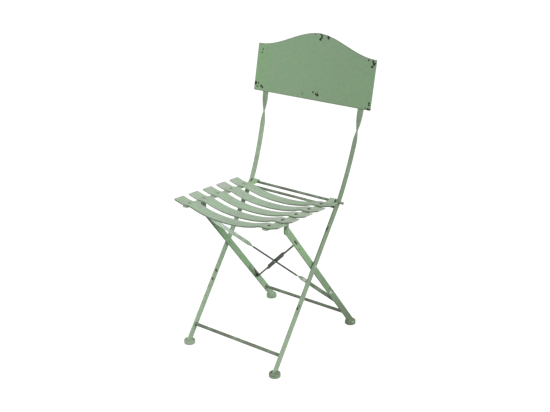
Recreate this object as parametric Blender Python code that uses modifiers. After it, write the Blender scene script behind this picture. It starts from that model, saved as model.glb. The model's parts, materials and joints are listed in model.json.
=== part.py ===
"""A folding garden chair of painted flat steel bar, standing open.

Two uprights run from the front feet up to an arched sheet back. Two rear legs cross them
at the leg pivots and carry the seat at the seat pivots. The seat's rails hook over a rod
between the uprights. The chair folds flat about the leg pivots and the seat pivots.
Metres, +Z up, the front faces -Y, and the origin is on the floor under the middle.
"""

import bmesh
import bpy
from math import asin, atan2, cos, hypot, pi, radians, sin, tan
from mathutils import Matrix, Vector

# Clearances
seam = 0.0003
hole_clearance = 0.0003
running_gap = 0.0003

# Leg scissors
pivot_height = 0.2675
upright_lean = radians(36.2)
leg_lean = radians(38.5)
leg_to_seat_pivot = 0.185
inside_width = 0.3168

# Flat bars and sheet
upright_width = 0.0185
upright_thickness = 0.0045
leg_width = 0.020
leg_thickness = 0.004
bar_corner = 0.0006

# Feet
foot_diameter = 0.033
foot_height = 0.012
foot_edge_radius = 0.003

# Uprights above the seat
knee_distance = 0.1975
knee_angle = radians(9.4)
knee_radius = 0.12
back_lean = radians(11.8)
sweep_length = 0.235
upright_splay = radians(2.3)
twist_start = 0.1765
twist_length = 0.092
upright_top_drop = 0.020

# Back panel
panel_width = 0.421
panel_off_centre = -0.0045
panel_side_height = 0.1427
panel_thickness = 0.0015
panel_bottom_height = 0.6865
crown_rise = 0.052
crown_half_width = 0.202
shoulder_slope_share = 0.1
panel_corner = 0.003

# Cross rods
hook_rod_distance = 0.199
hook_rod_diameter = 0.008
hook_rod_stub = 0.0155
lower_rod_distance = 0.1826
lower_rod_diameter = 0.008
stretcher_diameter = 0.010
front_stretcher_height = 0.0515
rear_stretcher_height = 0.049

# Pivot rivets and washers
pivot_pin_diameter = 0.007
pivot_head_diameter = 0.013
pivot_head_height = 0.0035
pivot_tail_diameter = 0.011
pivot_tail_height = 0.0025
pivot_washer_diameter = 0.015
pivot_washer_thickness = 0.0015
seat_pin_diameter = 0.006
seat_head_diameter = 0.011
seat_head_height = 0.0022
seat_tail_diameter = 0.0095
seat_tail_height = 0.002
seat_washer_diameter = 0.012
seat_washer_thickness = 0.001

# Rear leg ends
leg_top_reach = 0.014
leg_top_clip = 0.003

# Cross brace
brace_width = 0.012
brace_thickness = 0.002
brace_upper_distance = 0.122
brace_lower_distance = 0.210
brace_upper_tab_length = 0.015
brace_upper_tab_pin = 0.0083
brace_upper_bend_radius = 0.006
brace_lower_tab_length = 0.062
brace_lower_tab_pin = 0.056
brace_lower_bend_radius = 0.003
brace_flat_half = 0.076
brace_twist_length = 0.024
brace_pin_diameter = 0.004
brace_head_diameter = 0.008
brace_head_height = 0.0022

# Seat rails and lugs
rail_width = 0.019
rail_thickness = 0.004
rail_inset = 0.0009
rail_overhang = 0.004
rail_corner = 0.008
hook_clearance = 0.0005
hook_ramp = radians(48)
hook_bend_radius = 0.007
hook_tail = 0.002
lug_width = 0.020
lug_thickness = 0.003
lug_drop = 0.0277

# Seat slats
slat_count = 5
slat_length = 0.369
slat_depth = 0.040
slat_thickness = 0.0035
slat_pitch = 0.0603
last_slat_from_hook = 0.0572
slat_sag = 0.019
slat_sag_power = 2.3
slat_tip_rise = 0.0086
slat_corner = 0.004
slat_bend_blend = 0.008
slat_pin_diameter = 0.005
slat_head_diameter = 0.009
slat_head_height = 0.0022
slat_tail_diameter = 0.0072
slat_tail_height = 0.0015

# Colours and surface
paint_back = (0.225, 0.340, 0.205)
paint_frame = (0.190, 0.300, 0.175)
paint_seat = (0.330, 0.455, 0.305)
paint_roughness = 0.55
worn_steel = (0.115, 0.125, 0.100)
worn_steel_roughness = 0.6

# How finely bends are divided
knee_steps = 6
sweep_steps = 14
twist_steps = 8
crown_steps = 40
slat_steps = 48
shortest_piece = 0.003

# Points closer than this are one, faces closer in angle are one, and steeper edges stay sharp
weld_distance = 0.00001
level_faces = radians(0.05)
sharp_edge = radians(40)

# Places along the width
upright_inner = inside_width / 2
upright_x = upright_inner + upright_thickness / 2
leg_outer = upright_inner - pivot_washer_thickness - 2 * running_gap
leg_x = leg_outer - leg_thickness / 2
leg_inner = leg_outer - leg_thickness
lug_outer = leg_inner - seat_washer_thickness - 2 * running_gap
lug_x = lug_outer - lug_thickness / 2
rail_x = leg_inner - rail_inset - rail_width / 2
slat_flat_from = rail_x - rail_width / 2 - slat_bend_blend
slat_flat_to = rail_x + slat_head_diameter / 2 + seam + slat_bend_blend


def along(angle, distance):
    """The (y, z) step of a length at an angle above the floor, rearwards."""
    return Vector((0, cos(angle) * distance, sin(angle) * distance))


# Angles above the floor, measured from +Y
upright_angle = pi / 2 - upright_lean
leg_angle = pi / 2 + leg_lean
back_angle = pi / 2 - back_lean


def upright_centre_line():
    """Centre line from the pivot upwards, as (y, z, distance) from the pivot."""
    points = []
    step = along(upright_angle, knee_distance)
    y, z = step.y, step.z
    travelled = knee_distance
    points.append((y, z, travelled))
    sweep_angle = back_angle - upright_angle - knee_angle
    knee = (knee_angle, knee_angle * knee_radius, knee_steps)
    sweep = (sweep_angle, sweep_length, sweep_steps)
    angle = upright_angle
    for turn, length, steps in (knee, sweep):
        for _ in range(steps):
            angle += turn / steps / 2
            y += cos(angle) * length / steps
            z += sin(angle) * length / steps
            angle += turn / steps / 2
            travelled += length / steps
            points.append((y, z, travelled))
    return points


bend_points = upright_centre_line()
bend_end_y, bend_end_z, bend_end_distance = bend_points[-1]


def back_line_y(z_above_pivot):
    """How far behind the pivot the straight top of the upright's centre line is."""
    return bend_end_y + (z_above_pivot - bend_end_z) * tan(back_lean)


# Depth, with the origin midway between the front feet and the crown
foot_reach_front = (pivot_height - foot_height) * tan(upright_lean) + foot_diameter / 2
crown_top = panel_bottom_height + (panel_side_height + crown_rise) * cos(back_lean)
crown_back_y = back_line_y(crown_top - pivot_height)
crown_back_y -= (upright_thickness / 2 + seam) / cos(back_lean)
pivot_y = (foot_reach_front - crown_back_y) / 2
pivot = Vector((0, pivot_y, pivot_height))
seat_pivot = pivot + along(leg_angle, leg_to_seat_pivot)
hook_rod = pivot + along(upright_angle, hook_rod_distance)
lower_rod = pivot + along(upright_angle, lower_rod_distance)

# The seat's slope: its rail line passes through the hook rod, over the seat pivot
to_rod = hook_rod - seat_pivot
rod_distance = hypot(to_rod.y, to_rod.z)
seat_angle = atan2(to_rod.z, to_rod.y) - asin(lug_drop / rod_distance)


def side_frame(origin, angle):
    """Local x runs along the angle, local y across it, and local z to the right."""
    run = Vector((0, cos(angle), sin(angle)))
    rise = Vector((0, -sin(angle), cos(angle)))
    return placed(origin, run, rise)


def front_frame(origin, angle):
    """Local x runs to the right, local y across the angle, and local z forwards."""
    rise = Vector((0, -sin(angle), cos(angle)))
    return placed(origin, Vector((1, 0, 0)), rise)


def placed(origin, x_axis, y_axis):
    """A world matrix from an origin and two square axes."""
    z_axis = x_axis.cross(y_axis)
    matrix = Matrix((x_axis, y_axis, z_axis)).transposed().to_4x4()
    matrix.translation = origin
    return matrix


for leftover in list(bpy.data.objects):
    bpy.data.objects.remove(leftover)

chair = bpy.data.collections.new("folding_garden_chair")
bpy.context.scene.collection.children.link(chair)
cutters = bpy.data.collections.new("cutters")
bpy.context.scene.collection.children.link(cutters)


def painted(name, colour, roughness, metallic):
    """A plain material of one colour."""
    material = bpy.data.materials.new(name)
    material.use_nodes = True
    shader = material.node_tree.nodes["Principled BSDF"]
    shader.inputs["Base Color"].default_value = (*colour, 1)
    shader.inputs["Roughness"].default_value = roughness
    shader.inputs["Metallic"].default_value = metallic
    return material


back_paint = painted("back_paint", paint_back, paint_roughness, 0)
frame_paint = painted("frame_paint", paint_frame, paint_roughness, 0)
seat_paint = painted("seat_paint", paint_seat, paint_roughness, 0)
bare_steel = painted("worn_steel", worn_steel, worn_steel_roughness, 0.6)


def axis_empty(name, at, parent):
    """An empty on a joint's axis."""
    empty = bpy.data.objects.new(name, None)
    chair.objects.link(empty)
    empty.parent = parent
    empty.matrix_world = Matrix.Translation(at)
    bpy.context.view_layer.update()
    return empty


frame_axis = axis_empty("back_frame_axis", pivot, None)
legs_axis = axis_empty("rear_legs_axis", pivot, frame_axis)
seat_axis = axis_empty("seat_axis", seat_pivot, legs_axis)


def keep(obj, axis, material):
    """Put a finished piece in the chair, under its body's empty."""
    if obj.name not in chair.objects:
        chair.objects.link(obj)
    world = obj.matrix_world.copy()
    obj.parent = axis
    obj.matrix_parent_inverse = axis.matrix_world.inverted()
    obj.matrix_basis = world
    obj.data.materials.clear()
    obj.data.materials.append(material)
    return obj


def poly_spline(curve, points, cyclic):
    """Add one straight-sided spline to a curve."""
    spline = curve.splines.new("POLY")
    spline.points.add(len(points) - 1)
    for point, place in zip(spline.points, points):
        point.co = (*place, 1)
    spline.use_cyclic_u = cyclic
    return spline


def as_mesh(obj, material):
    """Turn a curve into a welded mesh that modifiers can cut."""
    bpy.context.view_layer.update()
    graph = bpy.context.evaluated_depsgraph_get()
    mesh = bpy.data.meshes.new_from_object(obj.evaluated_get(graph))
    shape = bmesh.new()
    shape.from_mesh(mesh)
    bmesh.ops.remove_doubles(shape, verts=shape.verts, dist=weld_distance)
    bmesh.ops.dissolve_limit(shape, angle_limit=level_faces, verts=shape.verts, edges=shape.edges)
    bmesh.ops.recalc_face_normals(shape, faces=shape.faces)
    shape.to_mesh(mesh)
    shape.free()
    solid = bpy.data.objects.new(obj.name + "_solid", mesh)
    solid.matrix_world = obj.matrix_world
    name = obj.name
    parent = obj.parent
    bpy.data.objects.remove(obj)
    solid.name = name
    return keep(solid, parent, material)


def circle(radius, centre=(0, 0), count=24):
    """The points of a circle in a flat outline."""
    turns = [2 * pi * i / count for i in range(count)]
    return [(centre[0] + radius * cos(t), centre[1] + radius * sin(t), 0) for t in turns]


def plate(name, outlines, thickness, matrix, axis, material):
    """A flat outline, with any holes in it, given a thickness about its own plane."""
    curve = bpy.data.curves.new(name, "CURVE")
    curve.dimensions = "2D"
    curve.fill_mode = "BOTH"
    curve.extrude = thickness / 2
    for outline in outlines:
        poly_spline(curve, outline, True)
    obj = bpy.data.objects.new(name, curve)
    chair.objects.link(obj)
    obj.matrix_world = matrix
    return keep(obj, axis, material)


def section(width, thickness):
    """A bar's section with small corners, as a hidden guide curve."""
    name = f"section_{round(width * 1e4)}_{round(thickness * 1e4)}"
    if name in bpy.data.objects:
        return bpy.data.objects[name]
    curve = bpy.data.curves.new(name, "CURVE")
    curve.dimensions = "2D"
    half_x, half_y, cut = thickness / 2, width / 2, bar_corner
    quarter = [(half_x - cut, half_y), (half_x, half_y - cut)]
    corners = []
    for sign_x, sign_y, order in ((1, 1, 1), (1, -1, -1), (-1, -1, 1), (-1, 1, -1)):
        corners += [(sign_x * x, sign_y * y, 0) for x, y in quarter[::order]]
    poly_spline(curve, corners[::-1], True)
    guide = bpy.data.objects.new(name, curve)
    cutters.objects.link(guide)
    guide.hide_render = True
    guide.display_type = "WIRE"
    return guide


def flat_bar(name, path, faces, width, thickness, axis, material):
    """A flat bar swept along a path, its width pointing along each of the given faces."""
    curve = bpy.data.curves.new(name, "CURVE")
    curve.dimensions = "3D"
    curve.twist_mode = "Z_UP"
    curve.bevel_mode = "OBJECT"
    curve.bevel_object = section(width, thickness)
    curve.use_fill_caps = True
    spline = poly_spline(curve, path, False)
    steps = [(after - before).normalized() for before, after in zip(path, path[1:])]
    previous = None
    for i, point in enumerate(spline.points):
        run = (steps[max(i - 1, 0)] + steps[min(i, len(steps) - 1)]).normalized()
        level = run.cross(Vector((0, 0, 1))).normalized()
        upward = level.cross(run)
        tilt = atan2(faces[i].dot(level), faces[i].dot(upward))
        if previous is not None:
            tilt -= round((tilt - previous) / pi) * pi
        point.tilt = tilt
        previous = tilt
    obj = bpy.data.objects.new(name, curve)
    chair.objects.link(obj)
    return as_mesh(keep(obj, axis, material), material)


def turned(name, profile, at, direction, steps, axis, material):
    """A turned piece: (radius, height) from its top to its foot, standing along a direction."""
    mesh = bpy.data.meshes.new(name)
    points = [(radius, 0, height) for radius, height in profile]
    mesh.from_pydata(points, [(i, i + 1) for i in range(len(points) - 1)], [])
    obj = bpy.data.objects.new(name, mesh)
    chair.objects.link(obj)
    turn = Vector(direction).to_track_quat("Z", "Y").to_matrix().to_4x4()
    obj.matrix_world = Matrix.Translation(at) @ turn
    screw = obj.modifiers.new("turn", "SCREW")
    screw.steps = steps
    screw.render_steps = steps
    screw.use_merge_vertices = True
    screw.merge_threshold = weld_distance
    screw.use_smooth_shade = True
    return keep(obj, axis, material)


def cylinder(name, start, end, diameter, collection, sides=20):
    """A plain round bar between two points."""
    run = end - start
    mesh = bpy.data.meshes.new(name)
    shape = bmesh.new()
    radius = diameter / 2
    bmesh.ops.create_cone(
        shape, cap_ends=True, segments=sides, radius1=radius, radius2=radius, depth=run.length
    )
    shape.to_mesh(mesh)
    shape.free()
    mesh.shade_smooth()
    mesh.set_sharp_from_angle(angle=sharp_edge)
    obj = bpy.data.objects.new(name, mesh)
    collection.objects.link(obj)
    turn = run.to_track_quat("Z", "Y").to_matrix().to_4x4() @ Matrix.Rotation(pi / sides, 4, "Z")
    obj.matrix_world = Matrix.Translation((start + end) / 2) @ turn
    return obj


def rod(name, start, end, diameter, axis, material):
    """A round rod that belongs to the chair."""
    return keep(cylinder(name, start, end, diameter, chair), axis, material)


def drill(pieces, start, end, diameter):
    """Cut one round hole through each of the pieces."""
    cutter = cylinder("drill_" + pieces[0].name, start, end, diameter, cutters)
    cutter.hide_render = True
    cutter.display_type = "WIRE"
    for piece in pieces:
        cut = piece.modifiers.new("hole", "BOOLEAN")
        cut.operation = "DIFFERENCE"
        cut.solver = "EXACT"
        cut.object = cutter


def dome(diameter, height, count):
    """Profile points of a domed head, from its crown down to its rim."""
    turns = [pi / 2 * i / count for i in range(count + 1)]
    return [(diameter / 2 * sin(turn), height * cos(turn)) for turn in turns]


def rivet_profile(head, pin_diameter, pin_length, tail):
    """A rivet's profile: a domed head, its pin and a domed tail, each dome (diameter, height)."""
    pin = [(pin_diameter / 2, 0), (pin_diameter / 2, -pin_length)]
    lower = [(radius, -pin_length - height) for radius, height in dome(*tail, 2)[::-1]]
    return dome(*head, 3) + pin + lower


def mirrored(vector, side):
    """The same place on the left (-1) or the right (+1)."""
    return Vector((vector.x * side, vector.y, vector.z))


sides = (("left", -1), ("right", 1))


def smooth_step(t):
    """An even change from 0 to 1."""
    t = min(max(t, 0), 1)
    return t * t * (3 - 2 * t)


def make_upright(name, side):
    """One upright: straight to the knee, swept up to the back, twisted below the panel."""
    below = (pivot_height - foot_height) / sin(upright_angle) + upright_width
    foot = pivot - along(upright_angle, below)
    top_height = panel_top_z() - upright_top_drop - pivot_height
    top_distance = bend_end_distance + (top_height - bend_end_z) / cos(back_lean)
    centre = [(foot.y - pivot.y, foot.z - pivot.z, -(pivot - foot).length)]
    centre += bend_points
    twist_from = knee_distance + twist_start
    straight = [twist_from + twist_length * i / twist_steps for i in range(twist_steps + 1)]
    straight = [d for d in straight if d > bend_end_distance + shortest_piece]
    for distance in straight + [top_distance]:
        beyond = distance - bend_end_distance
        y = bend_end_y + sin(back_lean) * beyond
        z = bend_end_z + cos(back_lean) * beyond
        centre.append((y, z, distance))
    path = []
    faces = []
    for i, (y, z, distance) in enumerate(centre):
        spread = max(distance - knee_distance, 0) * tan(upright_splay)
        path.append(Vector(((upright_x + spread) * side, pivot.y + y, pivot.z + z)))
        before, after = centre[max(i - 1, 0)], centre[min(i + 1, len(centre) - 1)]
        lean = atan2(after[1] - before[1], after[0] - before[0])
        across = Vector((0, -sin(lean), cos(lean)))
        turn = pi / 2 * smooth_step((distance - twist_from) / twist_length)
        faces.append(across * cos(turn) + Vector((1, 0, 0)) * sin(turn))
    bar = flat_bar(name, path, faces, upright_width, upright_thickness, frame_axis, frame_paint)
    trim_below(bar, foot_height + seam)
    reach = upright_thickness * 2
    inner = upright_x - reach
    outer = upright_x + reach
    for at, diameter in ((pivot, pivot_pin_diameter), (hook_rod, hook_rod_diameter)):
        start = mirrored(Vector((inner, at.y, at.z)), side)
        end = mirrored(Vector((outer, at.y, at.z)), side)
        drill([bar], start, end, diameter + 2 * hole_clearance)
    return bar


def panel_top_z():
    """Height of the panel's shoulders."""
    return panel_bottom_height + panel_side_height * cos(back_lean)


def trim_below(obj, height):
    """Cut a mesh off level at a height above the floor."""
    shape = bmesh.new()
    shape.from_mesh(obj.data)
    to_local = obj.matrix_world.inverted()
    normal = (to_local.to_3x3() @ Vector((0, 0, -1))).normalized()
    geometry = shape.verts[:] + shape.edges[:] + shape.faces[:]
    place = to_local @ Vector((0, 0, height))
    bmesh.ops.bisect_plane(shape, geom=geometry, plane_co=place, plane_no=normal, clear_outer=True)
    open_edges = [edge for edge in shape.edges if edge.is_boundary]
    bmesh.ops.contextual_create(shape, geom=open_edges)
    bmesh.ops.recalc_face_normals(shape, faces=shape.faces)
    shape.to_mesh(obj.data)
    shape.free()


def make_panel():
    """The arched sheet back. Its crown is midway between the uprights, its sides are not quite."""
    half = panel_width / 2
    shoulder = panel_side_height
    left_x = panel_off_centre - half + panel_corner
    right_x = panel_off_centre + half - panel_corner
    outline = []
    for corner_x, start in ((left_x, pi), (right_x, 1.5 * pi)):
        for i in range(4):
            turn = start + pi / 2 * i / 3
            outline.append((corner_x + panel_corner * cos(turn), panel_corner * (1 + sin(turn)), 0))
    top = []
    for i in range(crown_steps + 1):
        x = panel_off_centre + half - panel_width * i / crown_steps
        bell = 0.5 + 0.5 * cos(pi * min(abs(x) / crown_half_width, 1))
        slope = 1 - abs(x) / half
        crown = crown_rise * (bell * (1 - shoulder_slope_share) + slope * shoulder_slope_share)
        top.append((x, shoulder + crown, 0))
    outline += top
    foot_y = back_line_y(panel_bottom_height - pivot_height)
    offset = (upright_thickness / 2 + seam + panel_thickness / 2) / cos(back_lean)
    origin = Vector((0, pivot.y + foot_y - offset, panel_bottom_height))
    matrix = front_frame(origin, -back_lean)
    return plate("back_panel", [outline], panel_thickness, matrix, frame_axis, back_paint)


def make_feet(pair, x, y, axis):
    """The two round feet under one pair of bars."""
    radius = foot_diameter / 2
    edge = foot_edge_radius
    profile = [(0, foot_height)]
    for i in range(4):
        turn = pi / 2 * i / 3
        profile.append((radius - edge + edge * sin(turn), foot_height - edge + edge * cos(turn)))
    profile += [(radius, edge / 2), (radius - edge / 2, 0), (0, 0)]
    for side_name, side in sides:
        at = Vector((x * side, y, 0))
        turned(f"{side_name}_{pair}_foot", profile, at, (0, 0, 1), 24, axis, frame_paint)


def make_pivot_rivets():
    """Rivets that carry the rear legs on the uprights, each with a washer between the bars."""
    stack = upright_thickness + pivot_washer_thickness + leg_thickness + 4 * running_gap
    head = (pivot_head_diameter, pivot_head_height)
    tail = (pivot_tail_diameter, pivot_tail_height)
    profile = rivet_profile(head, pivot_pin_diameter, stack, tail)
    for side_name, side in sides:
        outer = upright_inner + upright_thickness + running_gap
        at = Vector((outer * side, pivot.y, pivot.z))
        turned(f"{side_name}_leg_pivot_rivet", profile, at, (side, 0, 0), 20, frame_axis, bare_steel)
        middle = upright_inner - running_gap - pivot_washer_thickness / 2
        at = Vector((middle * side, pivot.y, pivot.z))
        rings = (pivot_washer_diameter, pivot_pin_diameter)
        make_washer(f"{side_name}_leg_pivot_washer", at, rings, pivot_washer_thickness, frame_axis)


def make_washer(name, at, diameters, thickness, axis):
    """A flat washer round a pin along X, its outer and its pin's diameter given."""
    outer, pin = diameters
    rings = [circle(outer / 2), circle(pin / 2 + hole_clearance)]
    return plate(name, rings, thickness, side_frame(at, 0), axis, bare_steel)


def make_cross_rods():
    """The hook rod and the lower rod behind the seat, and the stretchers by the feet."""
    left_end = upright_inner + upright_thickness
    right_end = left_end + hook_rod_stub
    start = Vector((-left_end, hook_rod.y, hook_rod.z))
    end = Vector((right_end, hook_rod.y, hook_rod.z))
    rod("hook_rod", start, end, hook_rod_diameter, frame_axis, bare_steel)
    cross_rod("lower_rod", lower_rod, upright_inner, lower_rod_diameter, frame_axis)
    drop = (pivot_height - front_stretcher_height) / sin(upright_angle)
    at = pivot - along(upright_angle, drop)
    cross_rod("front_stretcher", at, upright_inner, stretcher_diameter, frame_axis)
    drop = (pivot_height - rear_stretcher_height) / sin(leg_angle)
    at = pivot - along(leg_angle, drop)
    cross_rod("rear_stretcher", at, leg_inner, stretcher_diameter, legs_axis)


def cross_rod(name, at, half_length, diameter, axis):
    """A rod that meets the inner faces of two bars."""
    reach = half_length - seam
    rod(name, Vector((-reach, at.y, at.z)), Vector((reach, at.y, at.z)), diameter, axis, bare_steel)


def make_rear_leg(name, side):
    """One rear leg, a straight bar with its top cut square beyond the seat pivot."""
    half = leg_width / 2
    foot_reach = (pivot_height - foot_height - seam) / sin(leg_angle)
    slope = half / tan(leg_angle)
    top = leg_to_seat_pivot + leg_top_reach
    clip = leg_top_clip
    outline = [(-foot_reach + slope, -half, 0), (top - clip, -half, 0), (top, -half + clip, 0)]
    outline += [(top, half - clip, 0), (top - clip, half, 0), (-foot_reach - slope, half, 0)]
    holes = [circle(pivot_pin_diameter / 2 + hole_clearance)]
    holes.append(circle(seat_pin_diameter / 2 + hole_clearance, (leg_to_seat_pivot, 0)))
    for distance in (brace_tab_upper(), -brace_tab_lower()):
        holes.append(circle(brace_pin_diameter / 2 + hole_clearance, (distance, 0), 16))
    matrix = side_frame(Vector((leg_x * side, pivot.y, pivot.z)), leg_angle)
    return plate(name, [outline] + holes, leg_thickness, matrix, legs_axis, frame_paint)


def brace_tab_upper():
    """Distance above the pivot of the upper brace rivets."""
    return brace_upper_distance + brace_upper_tab_pin


def brace_tab_lower():
    """Distance below the pivot of the lower brace rivets, on tabs folded back up the leg."""
    return brace_lower_distance - brace_lower_tab_pin


def brace_path(side, lift):
    """A brace's path from the left leg's top to the right leg's foot, or its mirror."""
    up_leg = along(leg_angle, 1)
    outward = Vector((side, 0, 0))
    normal = outward.cross(up_leg) * side
    tab_x = leg_inner - seam - brace_thickness / 2
    corners = (
        pivot + up_leg * (brace_upper_distance + brace_upper_tab_length) - outward * tab_x,
        pivot + up_leg * brace_upper_distance - outward * tab_x,
        pivot - up_leg * brace_lower_distance + outward * tab_x,
        pivot - up_leg * (brace_lower_distance - brace_lower_tab_length) + outward * tab_x,
    )
    path = [corners[0]]
    path += rounded_corner(corners[0], corners[1], corners[2], brace_upper_bend_radius, 5)
    run = corners[2] - corners[1]
    middle = (corners[1] + corners[2]) / 2
    reach = brace_flat_half + brace_twist_length
    places = [reach - brace_twist_length * i / 6 for i in range(7)]
    for distance in [-d for d in places] + places[::-1]:
        path.append(middle + run.normalized() * distance)
    path += rounded_corner(corners[1], corners[2], corners[3], brace_lower_bend_radius, 8)
    path.append(corners[3])
    lifted = []
    faces = []
    for i, point in enumerate(path):
        from_middle = (point - middle).length
        share = smooth_step((from_middle - brace_flat_half) / brace_twist_length)
        ahead = (path[min(i + 1, len(path) - 1)] - path[max(i - 1, 0)]).normalized()
        flat = normal.cross(ahead)
        turn = pi / 2 * share
        faces.append(flat * cos(turn) + normal * sin(turn))
        lifted.append(point + normal * lift * (1 - share))
    return lifted, faces


def rounded_corner(before, corner, after, radius, steps):
    """Points of a bend of a given radius in place of a sharp corner."""
    inward = (before - corner).normalized()
    outward = (after - corner).normalized()
    half_angle = inward.angle(outward) / 2
    back = radius / tan(half_angle)
    centre = corner + (inward + outward).normalized() * radius / sin(half_angle)
    first = corner + inward * back - centre
    last = corner + outward * back - centre
    sweep = first.angle(last)
    points = []
    for i in range(steps + 1):
        share = i / steps
        blend = first * sin((1 - share) * sweep) + last * sin(share * sweep)
        points.append(centre + blend / sin(sweep))
    return points


def make_braces():
    """Two twisted strips that cross between the rear legs, riveted at ends and middle."""
    lift = brace_thickness / 2 + seam / 2
    up_leg = along(leg_angle, 1)
    normal = Vector((1, 0, 0)).cross(up_leg)
    middle = pivot + up_leg * (brace_upper_distance - brace_lower_distance) / 2
    strips = []
    for name, side, level in (("left_top_brace", 1, lift), ("right_top_brace", -1, -lift)):
        path, faces = brace_path(side, level)
        strip = flat_bar(name, path, faces, brace_width, brace_thickness, legs_axis, frame_paint)
        for end_side, distance in ((-side, brace_tab_upper()), (side, -brace_tab_lower())):
            at = pivot + up_leg * distance
            inner = Vector(((leg_inner - 2 * brace_thickness) * end_side, at.y, at.z))
            outer = Vector((leg_inner * end_side, at.y, at.z))
            drill([strip], inner, outer, brace_pin_diameter + 2 * hole_clearance)
        strips.append(strip)
    reach = normal * brace_thickness * 2
    drill(strips, middle - reach, middle + reach, brace_pin_diameter + 2 * hole_clearance)
    head = (brace_head_diameter, brace_head_height)
    stack = 2 * brace_thickness + seam + 2 * running_gap
    profile = rivet_profile(head, brace_pin_diameter, stack, head)
    turned("brace_centre_rivet", profile, middle - normal * stack / 2, -normal, 12, legs_axis, bare_steel)
    stack = leg_thickness + brace_thickness + seam + 2 * running_gap
    profile = rivet_profile(head, brace_pin_diameter, stack, head)
    for side_name, side in sides:
        for level, distance in (("upper", brace_tab_upper()), ("lower", -brace_tab_lower())):
            at = pivot + up_leg * distance
            top = Vector(((leg_outer + running_gap) * side, at.y, at.z))
            name = f"{side_name}_{level}_brace_rivet"
            turned(name, profile, top, (side, 0, 0), 12, legs_axis, bare_steel)


def make_seat_pivots():
    """Rivets that carry the seat's lugs on the rear legs."""
    stack = leg_thickness + seat_washer_thickness + lug_thickness + 4 * running_gap
    head = (seat_head_diameter, seat_head_height)
    tail = (seat_tail_diameter, seat_tail_height)
    profile = rivet_profile(head, seat_pin_diameter, stack, tail)
    for side_name, side in sides:
        at = Vector(((leg_outer + running_gap) * side, seat_pivot.y, seat_pivot.z))
        turned(f"{side_name}_seat_pivot_rivet", profile, at, (side, 0, 0), 20, legs_axis, bare_steel)
        middle = leg_inner - running_gap - seat_washer_thickness / 2
        at = Vector((middle * side, seat_pivot.y, seat_pivot.z))
        rings = (seat_washer_diameter, seat_pin_diameter)
        make_washer(f"{side_name}_seat_pivot_washer", at, rings, seat_washer_thickness, legs_axis)


def hook_centre_line():
    """The rail's centre line by the hook rod, from the ramp's foot over the rod."""
    radius = hook_rod_diameter / 2 + hook_clearance + rail_thickness / 2
    ramp_foot = -radius / sin(hook_ramp)
    bend = hook_bend_radius
    back = bend * tan(hook_ramp / 2)
    points = []
    steps = 4
    for i in range(steps + 1):
        turn = hook_ramp * i / steps
        points.append((ramp_foot - back + bend * sin(turn), bend * (1 - cos(turn))))
    for i in range(11):
        turn = pi / 2 + hook_ramp - (pi / 2 + hook_ramp) * i / 10
        points.append((radius * cos(turn), radius * sin(turn)))
    points.append((radius, -hook_tail))
    return points


def make_rail(name, side):
    """One seat rail: a flat bar that ramps up and hooks over the rod at its rear."""
    front = -(last_slat_from_hook + (slat_count - 1) * slat_pitch + slat_depth / 2 + rail_overhang)
    path = [(front, 0)] + hook_centre_line()
    half = rail_thickness / 2
    upper = offset_line(path, half)
    lower = offset_line(path, -half)
    outline = [(x, y, 0) for x, y in upper + lower[::-1]]
    matrix = side_frame(Vector((rail_x * side, hook_rod.y, hook_rod.z)), seat_angle)
    rail = plate(name, [outline], rail_width, matrix, seat_axis, seat_paint)
    rail = as_mesh(rail, seat_paint)
    round_end_corners(rail, front, rail_corner)
    return rail


def offset_line(path, distance):
    """The path moved sideways by a distance, left of its run when that is positive."""
    moved = []
    for i, (x, y) in enumerate(path):
        before = path[max(i - 1, 0)]
        after = path[min(i + 1, len(path) - 1)]
        into = Vector((x - before[0], y - before[1]))
        out = Vector((after[0] - x, after[1] - y))
        into = (into if into.length > 0 else out).normalized()
        out = (out if out.length > 0 else into).normalized()
        normal = Vector((-(into + out).y, (into + out).x)).normalized()
        scale = distance / normal.dot(Vector((-into.y, into.x)))
        moved.append((x + normal.x * scale, y + normal.y * scale))
    return moved


def round_end_corners(obj, end_x, radius):
    """Round the upright edges of an end that lies at local x = end_x."""
    shape = bmesh.new()
    shape.from_mesh(obj.data)
    edges = []
    for edge in shape.edges:
        first, second = (vert.co for vert in edge.verts)
        at_end = max(abs(first.x - end_x), abs(second.x - end_x)) < bar_corner
        if at_end and abs(first.y - second.y) > abs(first.z - second.z):
            edges.append(edge)
    bmesh.ops.bevel(shape, geom=edges, offset=radius, segments=5, profile=0.5, affect="EDGES")
    shape.to_mesh(obj.data)
    shape.free()


def make_lug(name, side):
    """The plate under a rail that holds the seat pivot."""
    half = lug_width / 2
    top = lug_drop - rail_thickness / 2 - seam
    outline = [(half, top, 0), (-half, top, 0)]
    for i in range(13):
        turn = pi + pi * i / 12
        outline.append((half * cos(turn), half * sin(turn), 0))
    hole = circle(seat_pin_diameter / 2 + hole_clearance)
    matrix = side_frame(Vector((lug_x * side, seat_pivot.y, seat_pivot.z)), seat_angle)
    return plate(name, [outline, hole], lug_thickness, matrix, seat_axis, seat_paint)


def slat_height(x):
    """Height of a slat's middle surface over its seat on the rail, at a place across the seat."""
    reach = abs(x)
    if reach < slat_flat_from:
        return -slat_sag * (1 - (reach / slat_flat_from) ** slat_sag_power)
    if reach > slat_flat_to:
        return slat_tip_rise * (reach - slat_flat_to) / (slat_length / 2 - slat_flat_to)
    return 0


def slat_centre_line():
    """A slat's middle surface across the seat, with its bends blended."""
    points = []
    for i in range(slat_steps + 1):
        x = slat_length * (i / slat_steps - 0.5)
        samples = [slat_height(x + slat_bend_blend * s / 4) for s in range(-4, 5)]
        points.append((x, sum(samples) / len(samples)))
    return points


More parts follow.
